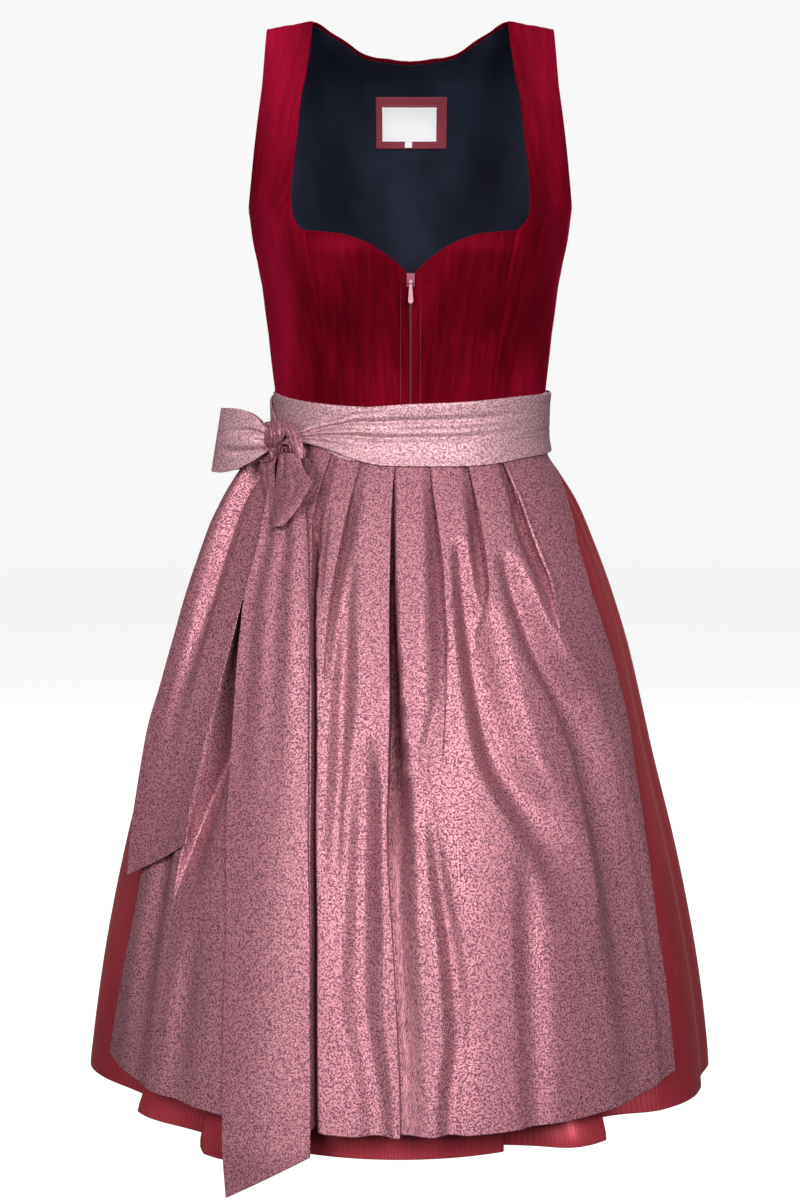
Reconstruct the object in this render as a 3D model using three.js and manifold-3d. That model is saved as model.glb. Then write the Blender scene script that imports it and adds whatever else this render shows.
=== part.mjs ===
// Dirndl: a velvet bodice with a front zip, a wide taffeta skirt and a pleated
// apron whose ties go round the back and are knotted in a bow at the wearer's right.
// Millimetres. +X is the wearer's left, the front faces -Y, +Z is up. The origin
// lies midway between the tops of the two shoulder straps.
// Angles go round the body: 0 is the centre front, 90 the wearer's left side seam,
// 180 the centre back.

import * as THREE from 'three';
import { mergeVertices } from 'three/addons/utils/BufferGeometryUtils.js';
import Module from 'manifold-3d';

const wasm = await Module();
wasm.setup();

// Cloth and seams
const SEAM = 0.36;
const VELVET = 2.0;
const TAFFETA = 1.5;
const JACQUARD = 1.5;
const BAND = 2.0;
const LINING = 1.0;
const LINING_GAP = 0.9;
const LABEL = 1.0;

// Heights
const WAIST_Z = -384;
const WAIST_DIP = 9;
const SKIRT_HEM_Z = -979;
const FRONT_HEM_DROP = 11;
const WAISTBAND_TOP_Z = -340.5;
const WAISTBAND_DIP = 15;
const APRON_TOP_Z = -395.5;
const APRON_HEM_Z = -964;
const APRON_CORNER_RISE = { right: 18, left: 13 };

// Bodice openings and seams
const ZIP_HALF_GAP = 1.6;
const SHOULDER_DROP = 7.5;
const STRAP_INNER_X = 91;
const STRAP_OUTER_X = 133;
const STRAP_FADE = 120;
const UNDERARM_Z = -175;

// Bust cups: soft domes on the front of the bodice
const CUP = { x: 80, z: -228, height: 20, spreadX: 36, spreadZ: 45 };

// Layers outside the waist ring, counted from it
const WAISTBAND_LIFT = 3.0;
const APRON_LIFT = 2.6;

// Rings of the body and the filled-out skirt. Above the underarm a ring only
// carries the straps and the upper back.
const RINGS = [
  { z: 0, half: 186, front: 0, back: 0, shift: 0 },
  { z: -16, half: 179, front: 22, back: 30, shift: 0 },
  { z: -52, half: 164, front: 60, back: 74, shift: 0 },
  { z: -89, half: 161.5, front: 90, back: 95, shift: 0 },
  { z: -130, half: 158, front: 110, back: 103, shift: 0 },
  { z: -175, half: 151.7, front: 116, back: 106, shift: 0 },
  { z: -200, half: 148, front: 114, back: 107, shift: 0 },
  { z: -230, half: 142.3, front: 111, back: 106, shift: 0 },
  { z: -260, half: 137.4, front: 107, back: 103, shift: 0 },
  { z: -292, half: 133.5, front: 99, back: 98, shift: 0 },
  { z: -330, half: 130, front: 92, back: 90, shift: 0 },
  { z: -360, half: 126.8, front: 91, back: 84, shift: 0 },
  { z: -384, half: 126.5, front: 93, back: 82, shift: 0 },
  { z: -400, half: 129.5, front: 97, back: 84, shift: 0 },
  { z: -420, half: 143.5, front: 108, back: 97, shift: -1 },
  { z: -446, half: 160.8, front: 123, back: 115, shift: -2 },
  { z: -484, half: 178.5, front: 143, back: 137, shift: -3 },
  { z: -527, half: 196.5, front: 164, back: 158, shift: -4.5 },
  { z: -575, half: 212.5, front: 185, back: 178, shift: -5.5 },
  { z: -628, half: 226.5, front: 206, back: 197, shift: -6.5 },
  { z: -682, half: 240, front: 227, back: 215, shift: -7.5 },
  { z: -752, half: 259.5, front: 252, back: 236, shift: -9 },
  { z: -820, half: 275, front: 275, back: 254, shift: -9 },
  { z: -890, half: 288, front: 296, back: 270, shift: -9 },
  { z: -964, half: 298, front: 318, back: 284, shift: -9.5 },
  { z: -990, half: 300.5, front: 324, back: 288, shift: -10 },
  { z: -1050, half: 303, front: 328, back: 290, shift: -10 },
];
const BODY_POWER = 2.2;
const HEM_POWER = 2.0;
const POWER_TOP_Z = -400;
const POWER_HEM_Z = -800;

// Neckline and princess seam of a front half: distance from the centre by height
const NECK_EDGE = [
  { z: 0, x: 91 },
  { z: -26, x: 93 },
  { z: -52, x: 96 },
  { z: -75, x: 100 },
  { z: -107, x: 103 },
  { z: -136, x: 106.5 },
  { z: -165, x: 109 },
  { z: -180, x: 108 },
  { z: -190, x: 103 },
  { z: -196, x: 96 },
  { z: -215, x: 92 },
  { z: -249, x: 85.5 },
  { z: -285, x: 82 },
  { z: -333, x: 76.5 },
  { z: -395, x: 72 },
];
const ARMHOLE_EDGE = [
  { z: 0, x: 133 },
  { z: -52, x: 136 },
  { z: -89.5, x: 140 },
  { z: -130, x: 144.7 },
  { z: -155, x: 148 },
  { z: -168, x: 150.3 },
  { z: -175, x: 151.7 },
];
const SWEETHEART = [
  { x: 0, z: -237 },
  { x: 15, z: -224 },
  { x: 28, z: -214.4 },
  { x: 44, z: -205.5 },
  { x: 63, z: -199.5 },
  { x: 84, z: -197 },
  { x: 96, z: -196 },
];
const BACK_NECK = [
  { x: 0, z: -32 },
  { x: 40, z: -27 },
  { x: 58, z: -17 },
  { x: 74, z: -8 },
  { x: 91, z: -0.02 },
  { x: 133, z: -0.02 },
];

// Soft valleys of the apron, each along a line from its top to its foot. side is
// where the valley opens from the line: 1 or -1 for a knife pleat, 0 for a fold.
const APRON_VALLEYS = [
  { topZ: -390, top: -31, footZ: -575, foot: -29, width: 5, depth: 9, side: 1 },
  { topZ: -390, top: -17.8, footZ: -640, foot: -19.5, width: 6, depth: 13, side: 1 },
  { topZ: -390, top: -5, footZ: -780, foot: -3.5, width: 7, depth: 20, side: 1 },
  { topZ: -390, top: 6.5, footZ: -710, foot: 8.5, width: 6, depth: 14, side: -1 },
  { topZ: -390, top: 20.7, footZ: -590, foot: 21, width: 6, depth: 13, side: -1 },
  { topZ: -390, top: 37.4, footZ: -620, foot: 43, width: 7, depth: 14, side: -1 },
  { topZ: -460, top: -22, footZ: -1250, foot: -8, width: 5, depth: 17, side: 0 },
  { topZ: -620, top: -2, footZ: -1300, foot: 1, width: 6, depth: 18, side: 0 },
  { topZ: -590, top: 17, footZ: -930, foot: 11, width: 6, depth: 9, side: 0 },
  { topZ: -540, top: 31, footZ: -820, foot: 36, width: 6, depth: 9, side: 0 },
  { topZ: -620, top: 49, footZ: -1250, foot: 52, width: 7, depth: 12, side: 0 },
  { topZ: -640, top: -50, footZ: -1250, foot: -50, width: 7, depth: 10, side: 0 },
];

// Edges of the apron by height, in degrees
const APRON_EDGES = [
  { z: -390, left: -79, right: 79 },
  { z: -423, left: -76, right: 74 },
  { z: -451, left: -72, right: 66 },
  { z: -486, left: -68, right: 60.5 },
  { z: -533, left: -65, right: 59 },
  { z: -606, left: -63, right: 62 },
  { z: -652, left: -63, right: 63 },
  { z: -729, left: -63, right: 60.5 },
  { z: -830, left: -62, right: 57.5 },
  { z: -964, left: -64, right: 56.5 },
];
const APRON_FIXED = 50;

// How far the skirt lies inside the ring where the apron covers it
const APRON_LOFT = [
  { z: -384, in: 0 },
  { z: -396, in: 1.2 },
  { z: -404, in: 3 },
  { z: -430, in: 11 },
  { z: -480, in: 20 },
  { z: -600, in: 25 },
  { z: -950, in: 25 },
  { z: -990, in: 16 },
];

// Folds of the skirt at the hem: soft valleys round the sides and the back
const SKIRT_FOLDS = [
  { at: -91, width: 7, depth: 6 },
  { at: 5, width: 13, depth: 42 },
  { at: 75, width: 6, depth: 5 },
  { at: 88, width: 6, depth: 6 },
  { at: 100, width: 8, depth: 16 },
  { at: 117, width: 7, depth: 12 },
  { at: 136, width: 9, depth: 18 },
  { at: 152, width: 7, depth: 13 },
  { at: 170, width: 9, depth: 19 },
  { at: 188, width: 8, depth: 14 },
  { at: 206, width: 8, depth: 18 },
  { at: 224, width: 7, depth: 12 },
  { at: 241, width: 8, depth: 17 },
  { at: 257, width: 7, depth: 12 },
];
// Knife folds of the skirt hem: the cloth steps back under the layer nearer the
// front, by depth, tucked along by tuck, and comes out again over width degrees.
const SKIRT_STEPS = [
  { at: -57, side: -1, depth: 42, tuck: 10, width: 24 },
  { at: -38, side: -1, depth: 20, tuck: 14, width: 18 },
  { at: 21, side: 1, depth: 20, tuck: 11, width: 17 },
  { at: 40, side: 1, depth: 46, tuck: 15, width: 27 },
];
const STEP_SHARE = 0.12;
const STEP_TOP_Z = -690;

// Ties: edges and distance from the ring, by angle. The over tie starts at the
// wearer's right end of the waistband, goes round the back and crosses the front.
const TIE_OVER = [
  { at: 412, top: -379, bottom: -388, lift: 14 },
  { at: 407, top: -377, bottom: -388, lift: 11 },
  { at: 398, top: -369, bottom: -391, lift: 7 },
  { at: 388, top: -362, bottom: -396.5, lift: 6 },
  { at: 380, top: -356, bottom: -402, lift: 5.8 },
  { at: 368, top: -353.5, bottom: -407, lift: 5.8 },
  { at: 360, top: -352, bottom: -407.3, lift: 5.8 },
  { at: 342, top: -350.5, bottom: -407.6, lift: 5.8 },
  { at: 325, top: -348, bottom: -405.6, lift: 5.8 },
  { at: 311, top: -346, bottom: -402, lift: 5.8 },
  { at: 270, top: -344, bottom: -398, lift: 5.8 },
  { at: 250, top: -343, bottom: -392, lift: 5.8 },
  { at: 225, top: -343.5, bottom: -378, lift: 5.8 },
  { at: 203, top: -344, bottom: -370, lift: 5.8 },
  { at: 190, top: -344, bottom: -368.5, lift: 3.1 },
  { at: 184, top: -345, bottom: -368, lift: 3.1 },
  { at: 176, top: -347, bottom: -374, lift: 3.1 },
  { at: 150, top: -354, bottom: -392, lift: 3.1 },
  { at: 120, top: -356, bottom: -401, lift: 3.1 },
  { at: 92, top: -350, bottom: -399, lift: 3.1 },
  { at: 79.15, top: -346, bottom: -398, lift: 3.1 },
];
const TIE_UNDER = [
  { at: 79.15, top: -346, bottom: -398, lift: 3.1 },
  { at: 100, top: -352, bottom: -401, lift: 3.1 },
  { at: 130, top: -362, bottom: -402, lift: 3.1 },
  { at: 158, top: -374, bottom: -402, lift: 3.1 },
  { at: 168, top: -374, bottom: -401, lift: 3.1 },
  { at: 176, top: -370, bottom: -398, lift: 5.8 },
  { at: 200, top: -352, bottom: -388, lift: 5.8 },
  { at: 230, top: -346, bottom: -392, lift: 5.8 },
  { at: 262, top: -348, bottom: -396, lift: 5.8 },
  { at: 280, top: -358, bottom: -398, lift: 6 },
  { at: 292, top: -372, bottom: -396, lift: 7 },
  { at: 299, top: -380, bottom: -391, lift: 9.5 },
  { at: 305, top: -381, bottom: -389, lift: 10.5 },
];

// Bow: an upright knot standing on the ties at the wearer's right
const KNOT = {
  at: -52, z: -388, lift: 17, along: 14, up: 12.5, out: 9.5, ridge: 0.07, squareness: 0.45,
};
const TRIM = 0.35;

// Side loop: a band that runs out from the knot, turns and comes back behind itself.
// skew is how much further out its lower edge lies than its upper one.
const SIDE_LOOP = [
  { along: 8, out: 5.5, middle: -387, high: 15, skew: 0 },
  { along: 18, out: 6.5, middle: -386, high: 22, skew: 0 },
  { along: 32, out: 9.5, middle: -385.5, high: 42, skew: 4 },
  { along: 50, out: 11, middle: -386.5, high: 57, skew: 8 },
  { along: 66, out: 9, middle: -387.5, high: 60, skew: 11 },
  { along: 78, out: 3, middle: -387.5, high: 59, skew: 12 },
  { along: 73, out: -5, middle: -387.5, high: 58, skew: 11 },
  { along: 54, out: -9, middle: -388, high: 54, skew: 8 },
  { along: 34, out: -6, middle: -387, high: 38, skew: 4 },
  { along: 20, out: -1.5, middle: -387, high: 20, skew: 0 },
  { along: 9, out: 1, middle: -387, high: 12, skew: 0 },
];
const SIDE_LOOP_TURN = 12;

// Hanging loop: the same band let down in front of the tails
const HANGING_LOOP = [
  { down: -392, at: -50.5, wide: 8, out: 25 },
  { down: -399, at: -52, wide: 28, out: 30.5 },
  { down: -412, at: -51, wide: 48, out: 30 },
  { down: -426, at: -47.5, wide: 38, out: 27 },
  { down: -441, at: -45, wide: 24, out: 23 },
  { down: -455, at: -44, wide: 14, out: 19 },
  { down: -457, at: -44, wide: 13, out: 16 },
  { down: -452, at: -44, wide: 16, out: 14 },
  { down: -438, at: -45.5, wide: 28, out: 13.5 },
  { down: -424, at: -48, wide: 38, out: 14.5 },
  { down: -410, at: -51, wide: 40, out: 16.5 },
  { down: -401, at: -52.5, wide: 20, out: 18.5 },
  { down: -396, at: -51.5, wide: 8, out: 19 },
];

// The long tail lies on the apron, between two edges given by their angles
const TAIL_LONG = [
  { z: -390, outer: -57, inner: -48, lift: 14 },
  { z: -405, outer: -56, inner: -44, lift: 11.5 },
  { z: -425, outer: -52.5, inner: -37, lift: 10 },
  { z: -448, outer: -48.5, inner: -31.7, lift: 9 },
  { z: -480, outer: -46, inner: -27.8, lift: 7.8 },
  { z: -516, outer: -45, inner: -24.7, lift: 7.2 },
  { z: -556, outer: -42.8, inner: -22.4, lift: 6.6 },
  { z: -624, outer: -40, inner: -20.5, lift: 6 },
  { z: -700, outer: -37.4, inner: -18.6, lift: 6 },
  { z: -778, outer: -34.1, inner: -16.9, lift: 6 },
  { z: -895, outer: -31.1, inner: -15.3, lift: 6 },
  { z: -981, outer: -29, inner: -14.4, lift: 6 },
];
const TAIL_LONG_POINT = 46;
// The short tail hangs behind it: its inner edge follows the form, and from there
// the cloth stands off flat. facing is the way it looks, in degrees from the front
// towards the wearer's right.
const TAIL_SHORT = [
  { z: -392, inner: -53, lift: 9, facing: 44, width: 11 },
  { z: -405, inner: -50.5, lift: 7.6, facing: 45, width: 27 },
  { z: -425, inner: -48.5, lift: 6.6, facing: 44, width: 48 },
  { z: -446, inner: -47.5, lift: 5.8, facing: 42, width: 62 },
  { z: -470, inner: -47, lift: 5.4, facing: 41, width: 70 },
  { z: -517, inner: -46.4, lift: 5.2, facing: 41, width: 73 },
  { z: -548, inner: -46.3, lift: 5.2, facing: 41, width: 74 },
  { z: -603, inner: -47.1, lift: 5.6, facing: 41, width: 74 },
  { z: -656, inner: -48, lift: 6, facing: 40, width: 75 },
  { z: -700, inner: -48.2, lift: 6, facing: 40, width: 76 },
  { z: -742, inner: -46.8, lift: 6, facing: 40, width: 76 },
];
const TAIL_SHORT_POINT = 40;
const TAIL_SLANT_FROM = 0.7;

// Label on the inside of the back
const PATCH = { left: -33, right: 36, top: -61, bottom: -110, inside: 4.5 };
const TAG = { left: -27, right: 26, top: -70, bottom: -103, inside: 5.9 };
const SIZE_TAB = { left: -4.7, right: 2, top: -103.5, bottom: -109, inside: 5.9 };

// Zip slider and its pull tab
const SLIDER = { z: -240, width: 7, height: 12, plate: 1.4, stem: 1.8, stemHeight: 9 };
const PIN = { z: -242, radius: 0.8, forward: 4.6 };
const LUG = { x: 2.1, thick: 1, height: 3.4 };
const EYE = { inner: 1.15, outer: 1.95, width: 2.6, sides: 16 };
const TAB = { length: 19, top: 2.4, bottom: 4.5, thick: 1.2 };

const MATERIALS = {
  velvet: new THREE.MeshStandardMaterial({ color: 0x6b0a1c, roughness: 0.9, metalness: 0 }),
  lining: new THREE.MeshStandardMaterial({ color: 0x1c1f2b, roughness: 0.7, metalness: 0 }),
  taffeta: new THREE.MeshStandardMaterial({ color: 0x8a2a32, roughness: 0.45, metalness: 0 }),
  jacquard: new THREE.MeshStandardMaterial({ color: 0xa86c74, roughness: 0.5, metalness: 0 }),
  patch: new THREE.MeshStandardMaterial({ color: 0x7d2a3a, roughness: 0.8, metalness: 0 }),
  label: new THREE.MeshStandardMaterial({ color: 0xf0f0f2, roughness: 0.7, metalness: 0 }),
  tape: new THREE.MeshStandardMaterial({ color: 0x5a1220, roughness: 0.8, metalness: 0 }),
  zip: new THREE.MeshStandardMaterial({ color: 0xd99aa5, roughness: 0.35, metalness: 0.4 }),
};

const garment = new THREE.Group();

// ---- small helpers -------------------------------------------------------

const radians = THREE.MathUtils.degToRad;
const mix = THREE.MathUtils.lerp;

function smooth(x) {
  const t = Math.min(1, Math.max(0, x));
  return t * t * (3 - 2 * t);
}

// The shorter way round from one angle to another, in degrees
function turnBetween(degrees, from) {
  return ((degrees - from + 540) % 360) - 180;
}

function spaced(from, to, steps) {
  return Array.from({ length: steps + 1 }, (_, i) => mix(from, to, i / steps));
}

// Straight interpolation in a table whose key column runs either way
function between(table, key, at, column) {
  const down = table[0][key] > table[table.length - 1][key];
  for (let i = 1; i < table.length; i += 1) {
    const a = table[i - 1];
    const b = table[i];
    const inside = down ? at >= b[key] : at <= b[key];
    if (inside || i === table.length - 1) {
      const share = (at - a[key]) / (b[key] - a[key]);
      return mix(a[column], b[column], Math.min(1, Math.max(0, share)));
    }
  }
  return table[0][column];
}

// Smooth interpolation that never overshoots the rows (Fritsch-Carlson)
function curveThrough(keys, values) {
  const last = keys.length - 1;
  const slopes = [];
  for (let i = 0; i < last; i += 1) {
    slopes.push((values[i + 1] - values[i]) / (keys[i + 1] - keys[i]));
  }
  const tangents = [slopes[0]];
  for (let i = 1; i < last; i += 1) {
    const product = slopes[i - 1] * slopes[i];
    tangents.push(product <= 0 ? 0 : (2 * product) / (slopes[i - 1] + slopes[i]));
  }
  tangents.push(slopes[last - 1]);
  return (at) => {
    const key = Math.min(keys[last], Math.max(keys[0], at));
    let i = 0;
    while (i < last - 1 && key > keys[i + 1]) i += 1;
    const span = keys[i + 1] - keys[i];
    const s = (key - keys[i]) / span;
    const rise = values[i + 1] - values[i];
    const first = tangents[i] * span;
    const second = tangents[i + 1] * span;
    const square = (3 * rise - 2 * first - second) * s * s;
    const cube = (first + second - 2 * rise) * s * s * s;
    return values[i] + first * s + square + cube;
  };
}

function columnCurve(table, key, column) {
  return curveThrough(table.map((row) => row[key]), table.map((row) => row[column]));
}

// ---- the form that carries the cloth -------------------------------------

// Rings are read by the root of their depth, so that the straps round over at the top
const ringKey = (z) => Math.sqrt(Math.max(0, -z));
const ringRows = RINGS.map((row) => ({ ...row, key: ringKey(row.z) }));
const ringCurves = {
  half: columnCurve(ringRows, 'key', 'half'),
  front: columnCurve(ringRows, 'key', 'front'),
  back: columnCurve(ringRows, 'key', 'back'),
  shift: columnCurve(ringRows, 'key', 'shift'),
};

function ringPower(z) {
  const share = (POWER_TOP_Z - z) / (POWER_TOP_Z - POWER_HEM_Z);
  return mix(BODY_POWER, HEM_POWER, Math.min(1, Math.max(0, share)));
}

// A point on the ring at a height, moved straight out by lift
function ringPoint(degrees, z, lift = 0) {
  const key = ringKey(z);
  const half = ringCurves.half(key);
  const sine = Math.sin(radians(degrees));
  const cosine = Math.cos(radians(degrees));
  const depth = cosine >= 0 ? ringCurves.front(key) : ringCurves.back(key);
  const power = ringPower(z);
  const wide = Math.sign(sine) * Math.abs(sine) ** (2 / power);
  const deep = -Math.sign(cosine) * Math.abs(cosine) ** (2 / power);
  const point = new THREE.Vector3(ringCurves.shift(key) + half * wide, depth * deep, z);
  if (lift !== 0) {
    const across = Math.sign(wide) * Math.abs(wide) ** (power - 1) / half;
    const ahead = Math.sign(deep) * Math.abs(deep) ** (power - 1) / depth;
    point.add(new THREE.Vector3(across, ahead, 0).normalize().multiplyScalar(lift));
  }
  return point;
}

function ringDirection(degrees, z) {
  const out = ringPoint(degrees, z, 1).sub(ringPoint(degrees, z));
  return { out, along: new THREE.Vector3(-out.y, out.x, 0) };
}

// The angle at which the ring passes a distance x from the centre
function ringAngle(x, z) {
  const half = ringCurves.half(ringKey(z));
  const share = Math.min(1, Math.abs(x) / half) ** (ringPower(z) / 2);
  return Math.sign(x) * THREE.MathUtils.radToDeg(Math.asin(share));
}

// The waist seam and the top of the apron dip towards the centre front
const waistDip = (degrees) => WAIST_DIP * ((1 + Math.cos(radians(degrees))) / 2) ** 1.5;
const waistZ = (degrees) => WAIST_Z - waistDip(degrees);
const apronTopZ = (degrees) => APRON_TOP_Z - waistDip(degrees);

// Shoulders fall away towards the arm
function shoulderFall(x, z) {
  const outwards = (Math.abs(x) - STRAP_INNER_X) / (STRAP_OUTER_X - STRAP_INNER_X);
  const fade = Math.max(0, 1 + z / STRAP_FADE);
  return SHOULDER_DROP * Math.max(0, outwards) * fade;
}

function cup(x, z) {
  const across = (Math.abs(x) - CUP.x) / CUP.spreadX;
  const along = (z - CUP.z) / CUP.spreadZ;
  return CUP.height * Math.exp(-(across * across + along * along) / 2);
}

function frontPoint(x, z) {
  const angle = ringAngle(x, z);
  const point = ringPoint(angle, z);
  point.y -= cup(x, z) * smooth(2 * Math.cos(radians(angle)));
  point.z -= shoulderFall(x, z);
  return point;
}

function backPoint(x, z) {
  const point = ringPoint(180 - ringAngle(x, z), z);
  point.z -= shoulderFall(x, z);
  return point;
}

// ---- solids --------------------------------------------------------------

function addPiece(name, geometry, material) {
  const mesh = new THREE.Mesh(geometry, material);
  mesh.name = name;
  garment.add(mesh);
  return mesh;
}

function closedGeometry(vertices, triangles) {
  let volume = 0;
  const corner = (i) => vertices[i];
  for (const [a, b, c] of triangles) {
    volume += corner(a).dot(corner(b).clone().cross(corner(c)));
  }
  const faces = volume > 0 ? triangles : triangles.map(([a, b, c]) => [a, c, b]);
  const geometry = new THREE.BufferGeometry();
  const numbers = vertices.flatMap((p) => [p.x, p.y, p.z]);
  geometry.setAttribute('position', new THREE.Float32BufferAttribute(numbers, 3));
  geometry.setIndex(faces.flat());
  geometry.computeVertexNormals();
  return geometry;
}

// A wall of cloth: place(u, v) gives the surface, with u going round the body and
// v going down it. The wall's outer face lies `outside` beyond that surface.
function cloth(place, us, vs, thickness, outside = 0) {
  const nudge = 0.002;
  const outer = [];
  const inner = [];
  for (const v of vs) {
    for (const u of us) {
      const across = place(Math.min(1, u + nudge), v).sub(place(Math.max(0, u - nudge), v));
      const down = place(u, Math.min(1, v + nudge)).sub(place(u, Math.max(0, v - nudge)));
      const normal = down.cross(across).normalize();
      const point = place(u, v);
      outer.push(point.clone().addScaledVector(normal, outside));
      inner.push(point.clone().addScaledVector(normal, outside - thickness));
    }
  }
  const columns = us.length;
  const rows = vs.length;
  const count = outer.length;
  const triangles = [];
  const quad = (a, b, c, d) => triangles.push([a, b, c], [a, c, d]);
  for (let r = 0; r < rows - 1; r += 1) {
    for (let c = 0; c < columns - 1; c += 1) {
      const a = r * columns + c;
      const b = a + 1;
      const d = a + columns;
      quad(a, d, d + 1, b);
      quad(count + a, count + b, count + d + 1, count + d);
    }
  }
  for (let c = 0; c < columns - 1; c += 1) {
    const foot = (rows - 1) * columns + c;
    quad(c, c + 1, count + c + 1, count + c);
    quad(foot, count + foot, count + foot + 1, foot + 1);
  }
  for (let r = 0; r < rows - 1; r += 1) {
    const left = r * columns;
    const right = left + columns - 1;
    quad(left, count + left, count + left + columns, left + columns);
    quad(right, right + columns, count + right + columns, count + right);
  }
  return closedGeometry(outer.concat(inner), triangles);
}

function toManifold(geometry) {
  const plain = geometry.clone();
  plain.deleteAttribute('normal');
  plain.deleteAttribute('uv');
  const merged = mergeVertices(plain, 1e-4);
  return new wasm.Manifold(new wasm.Mesh({
    numProp: 3,
    vertProperties: new Float32Array(merged.attributes.position.array),
    triVerts: new Uint32Array(merged.index.array),
  }));
}

function fromManifold(solid) {
  const mesh = solid.getMesh();
  const geometry = new THREE.BufferGeometry();
  const positions = new Float32Array(mesh.vertProperties);
  geometry.setAttribute('position', new THREE.Float32BufferAttribute(positions, 3));
  geometry.setIndex(Array.from(mesh.triVerts));
  geometry.computeVertexNormals();
  return geometry;
}

function joined(...geometries) {
  return fromManifold(geometries.map(toManifold).reduce((all, next) => all.add(next)));
}

function trimmed(geometry, cutter) {
  return fromManifold(toManifold(geometry).subtract(toManifold(cutter)));
}

// ---- bodice --------------------------------------------------------------

// side is -1 for the wearer's right half and 1 for the left
function mirrored(place, side) {
  if (side > 0) return place;
  return (u, v) => {
    const point = place(1 - u, v);
    point.x = -point.x;
    return point;
  };
}

const princessFoot = ringAngle(NECK_EDGE[NECK_EDGE.length - 1].x, WAIST_Z);

function centreFront(u, v) {
  const seamTop = NECK_EDGE.find((row) => row.z === -196).x - SEAM / 2;
  const topX = mix(ZIP_HALF_GAP, seamTop, u);
  const top = between(SWEETHEART, 'x', topX, 'z');
  const z = mix(top, waistZ(mix(0, princessFoot, u)) + SEAM / 2, v);
  const x = mix(ZIP_HALF_GAP, between(NECK_EDGE, 'z', Math.min(z, -196), 'x') - SEAM / 2, u);
  return frontPoint(x, z);
}

function sideFront(u, v) {
  const foot = waistZ(mix(princessFoot, 90, u)) + SEAM / 2;
  const z = v < 0.5 ? mix(-0.02, -196, (v / 0.5) ** 1.3) : mix(-196, foot, (v - 0.5) / 0.5);
  const outer = armholeX(z);
  const inner = between(NECK_EDGE, 'z', z, 'x') + (z < -195 ? SEAM / 2 : 0);
  const from = ringAngle(inner, z);
  const to = z > UNDERARM_Z ? ringAngle(outer, z) : 89.93;
  const angle = mix(from, to, u);
  const half = ringCurves.half(ringKey(z));
  const x = half * Math.sin(radians(angle)) ** (2 / BODY_POWER);
  const point = frontPoint(x, z);
  if (v < 0.01) point.y -= SEAM / 2;
  return point;
}

function armholeX(z) {
  if (z > UNDERARM_Z) return between(ARMHOLE_EDGE, 'z', z, 'x');
  return ringCurves.half(ringKey(z));
}

function backPanel(u, v) {
  const topX = mix(STRAP_OUTER_X, -STRAP_OUTER_X, u);
  const top = between(BACK_NECK, 'x', Math.abs(topX), 'z');
  const foot = waistZ(180) + SEAM / 2;
  const z = mix(top, foot, v ** 1.25);
  const limit = z > UNDERARM_Z ? ringAngle(armholeX(z), z) : 89.93;
  const half = ringCurves.half(ringKey(z));
  const widest = half * Math.sin(radians(limit)) ** (2 / BODY_POWER);
  const share = topX / STRAP_OUTER_X;
  const spread = mix(share, Math.sign(share) * Math.sin(radians(90 * Math.abs(share))), v * 0.6);
  const point = backPoint(widest * spread, z);
  if (top > -0.1 && v < 0.01) point.y += SEAM / 2;
  return point;
}

const backColumns = spaced(0, 1, 16);
const backRows = [
  0, 0.012, 0.035, 0.08, 0.136, 0.18, 0.22, 0.26, 0.3, 0.38, 0.49, 0.61, 0.74, 0.87, 0.93, 1,
];
const liningRows = backRows.slice(1, -1).concat(0.985);

for (const [side, word] of [[-1, 'right'], [1, 'left']]) {
  const front = cloth(mirrored(centreFront, side), spaced(0, 1, 6), spaced(0, 1, 8), VELVET);
  addPiece(`bodice_front_${word}`, front, MATERIALS.velvet);
  const sideRows = [
    0, 0.015, ...spaced(0.05, 0.4, 6), 0.43, 0.447, 0.46, 0.482, ...spaced(0.5, 1, 8),
  ];
  const sidePanel = cloth(mirrored(sideFront, side), spaced(0, 1, 6), sideRows, VELVET);
  addPiece(`bodice_side_${word}`, sidePanel, MATERIALS.velvet);
}
addPiece('bodice_back', cloth(backPanel, backColumns, backRows, VELVET), MATERIALS.velvet);
addPiece(
  'lining_back',
  cloth(backPanel, backColumns, liningRows, LINING, -VELVET - LINING_GAP),
  MATERIALS.lining,
);

function onBack(place) {
  return (u, v) => backPoint(mix(place.right, place.left, u), mix(place.top, place.bottom, v));
}
for (const [name, place, material] of [
  ['label_patch', PATCH, MATERIALS.patch],
  ['label', TAG, MATERIALS.label],
  ['size_tab', SIZE_TAB, MATERIALS.label],
]) {
  const shape = cloth(onBack(place), spaced(0, 1, 4), spaced(0, 1, 4), LABEL, -place.inside);
  addPiece(name, shape, material);
}

// ---- front zip -----------------------------------------------------------

const TAPE = { from: 0.35, to: 13, top: -240, bottom: -378 };
for (const [side, word] of [[-1, 'right'], [1, 'left']]) {
  const tape = (u, v) => frontPoint(mix(TAPE.from, TAPE.to, u), mix(TAPE.top, TAPE.bottom, v));
  const inside = -VELVET - 2 * SEAM;
  const shape = cloth(mirrored(tape, side), [0, 1], spaced(0, 1, 8), LINING, inside);
  addPiece(`zip_tape_${word}`, shape, MATERIALS.tape);
}

// A box standing on the front: y is how far it comes forward of the velvet
function block(x, z, width, height, from, to) {
  const box = new THREE.BoxGeometry(width, to - from, height);
  return box.translate(x, -(from + to) / 2, z);
}

// A round bar along X
function bar(radius, length, forward, z) {
  const shape = new THREE.CylinderGeometry(radius, radius, length, EYE.sides);
  return shape.rotateZ(Math.PI / 2).translate(0, -forward, z);
}

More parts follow.
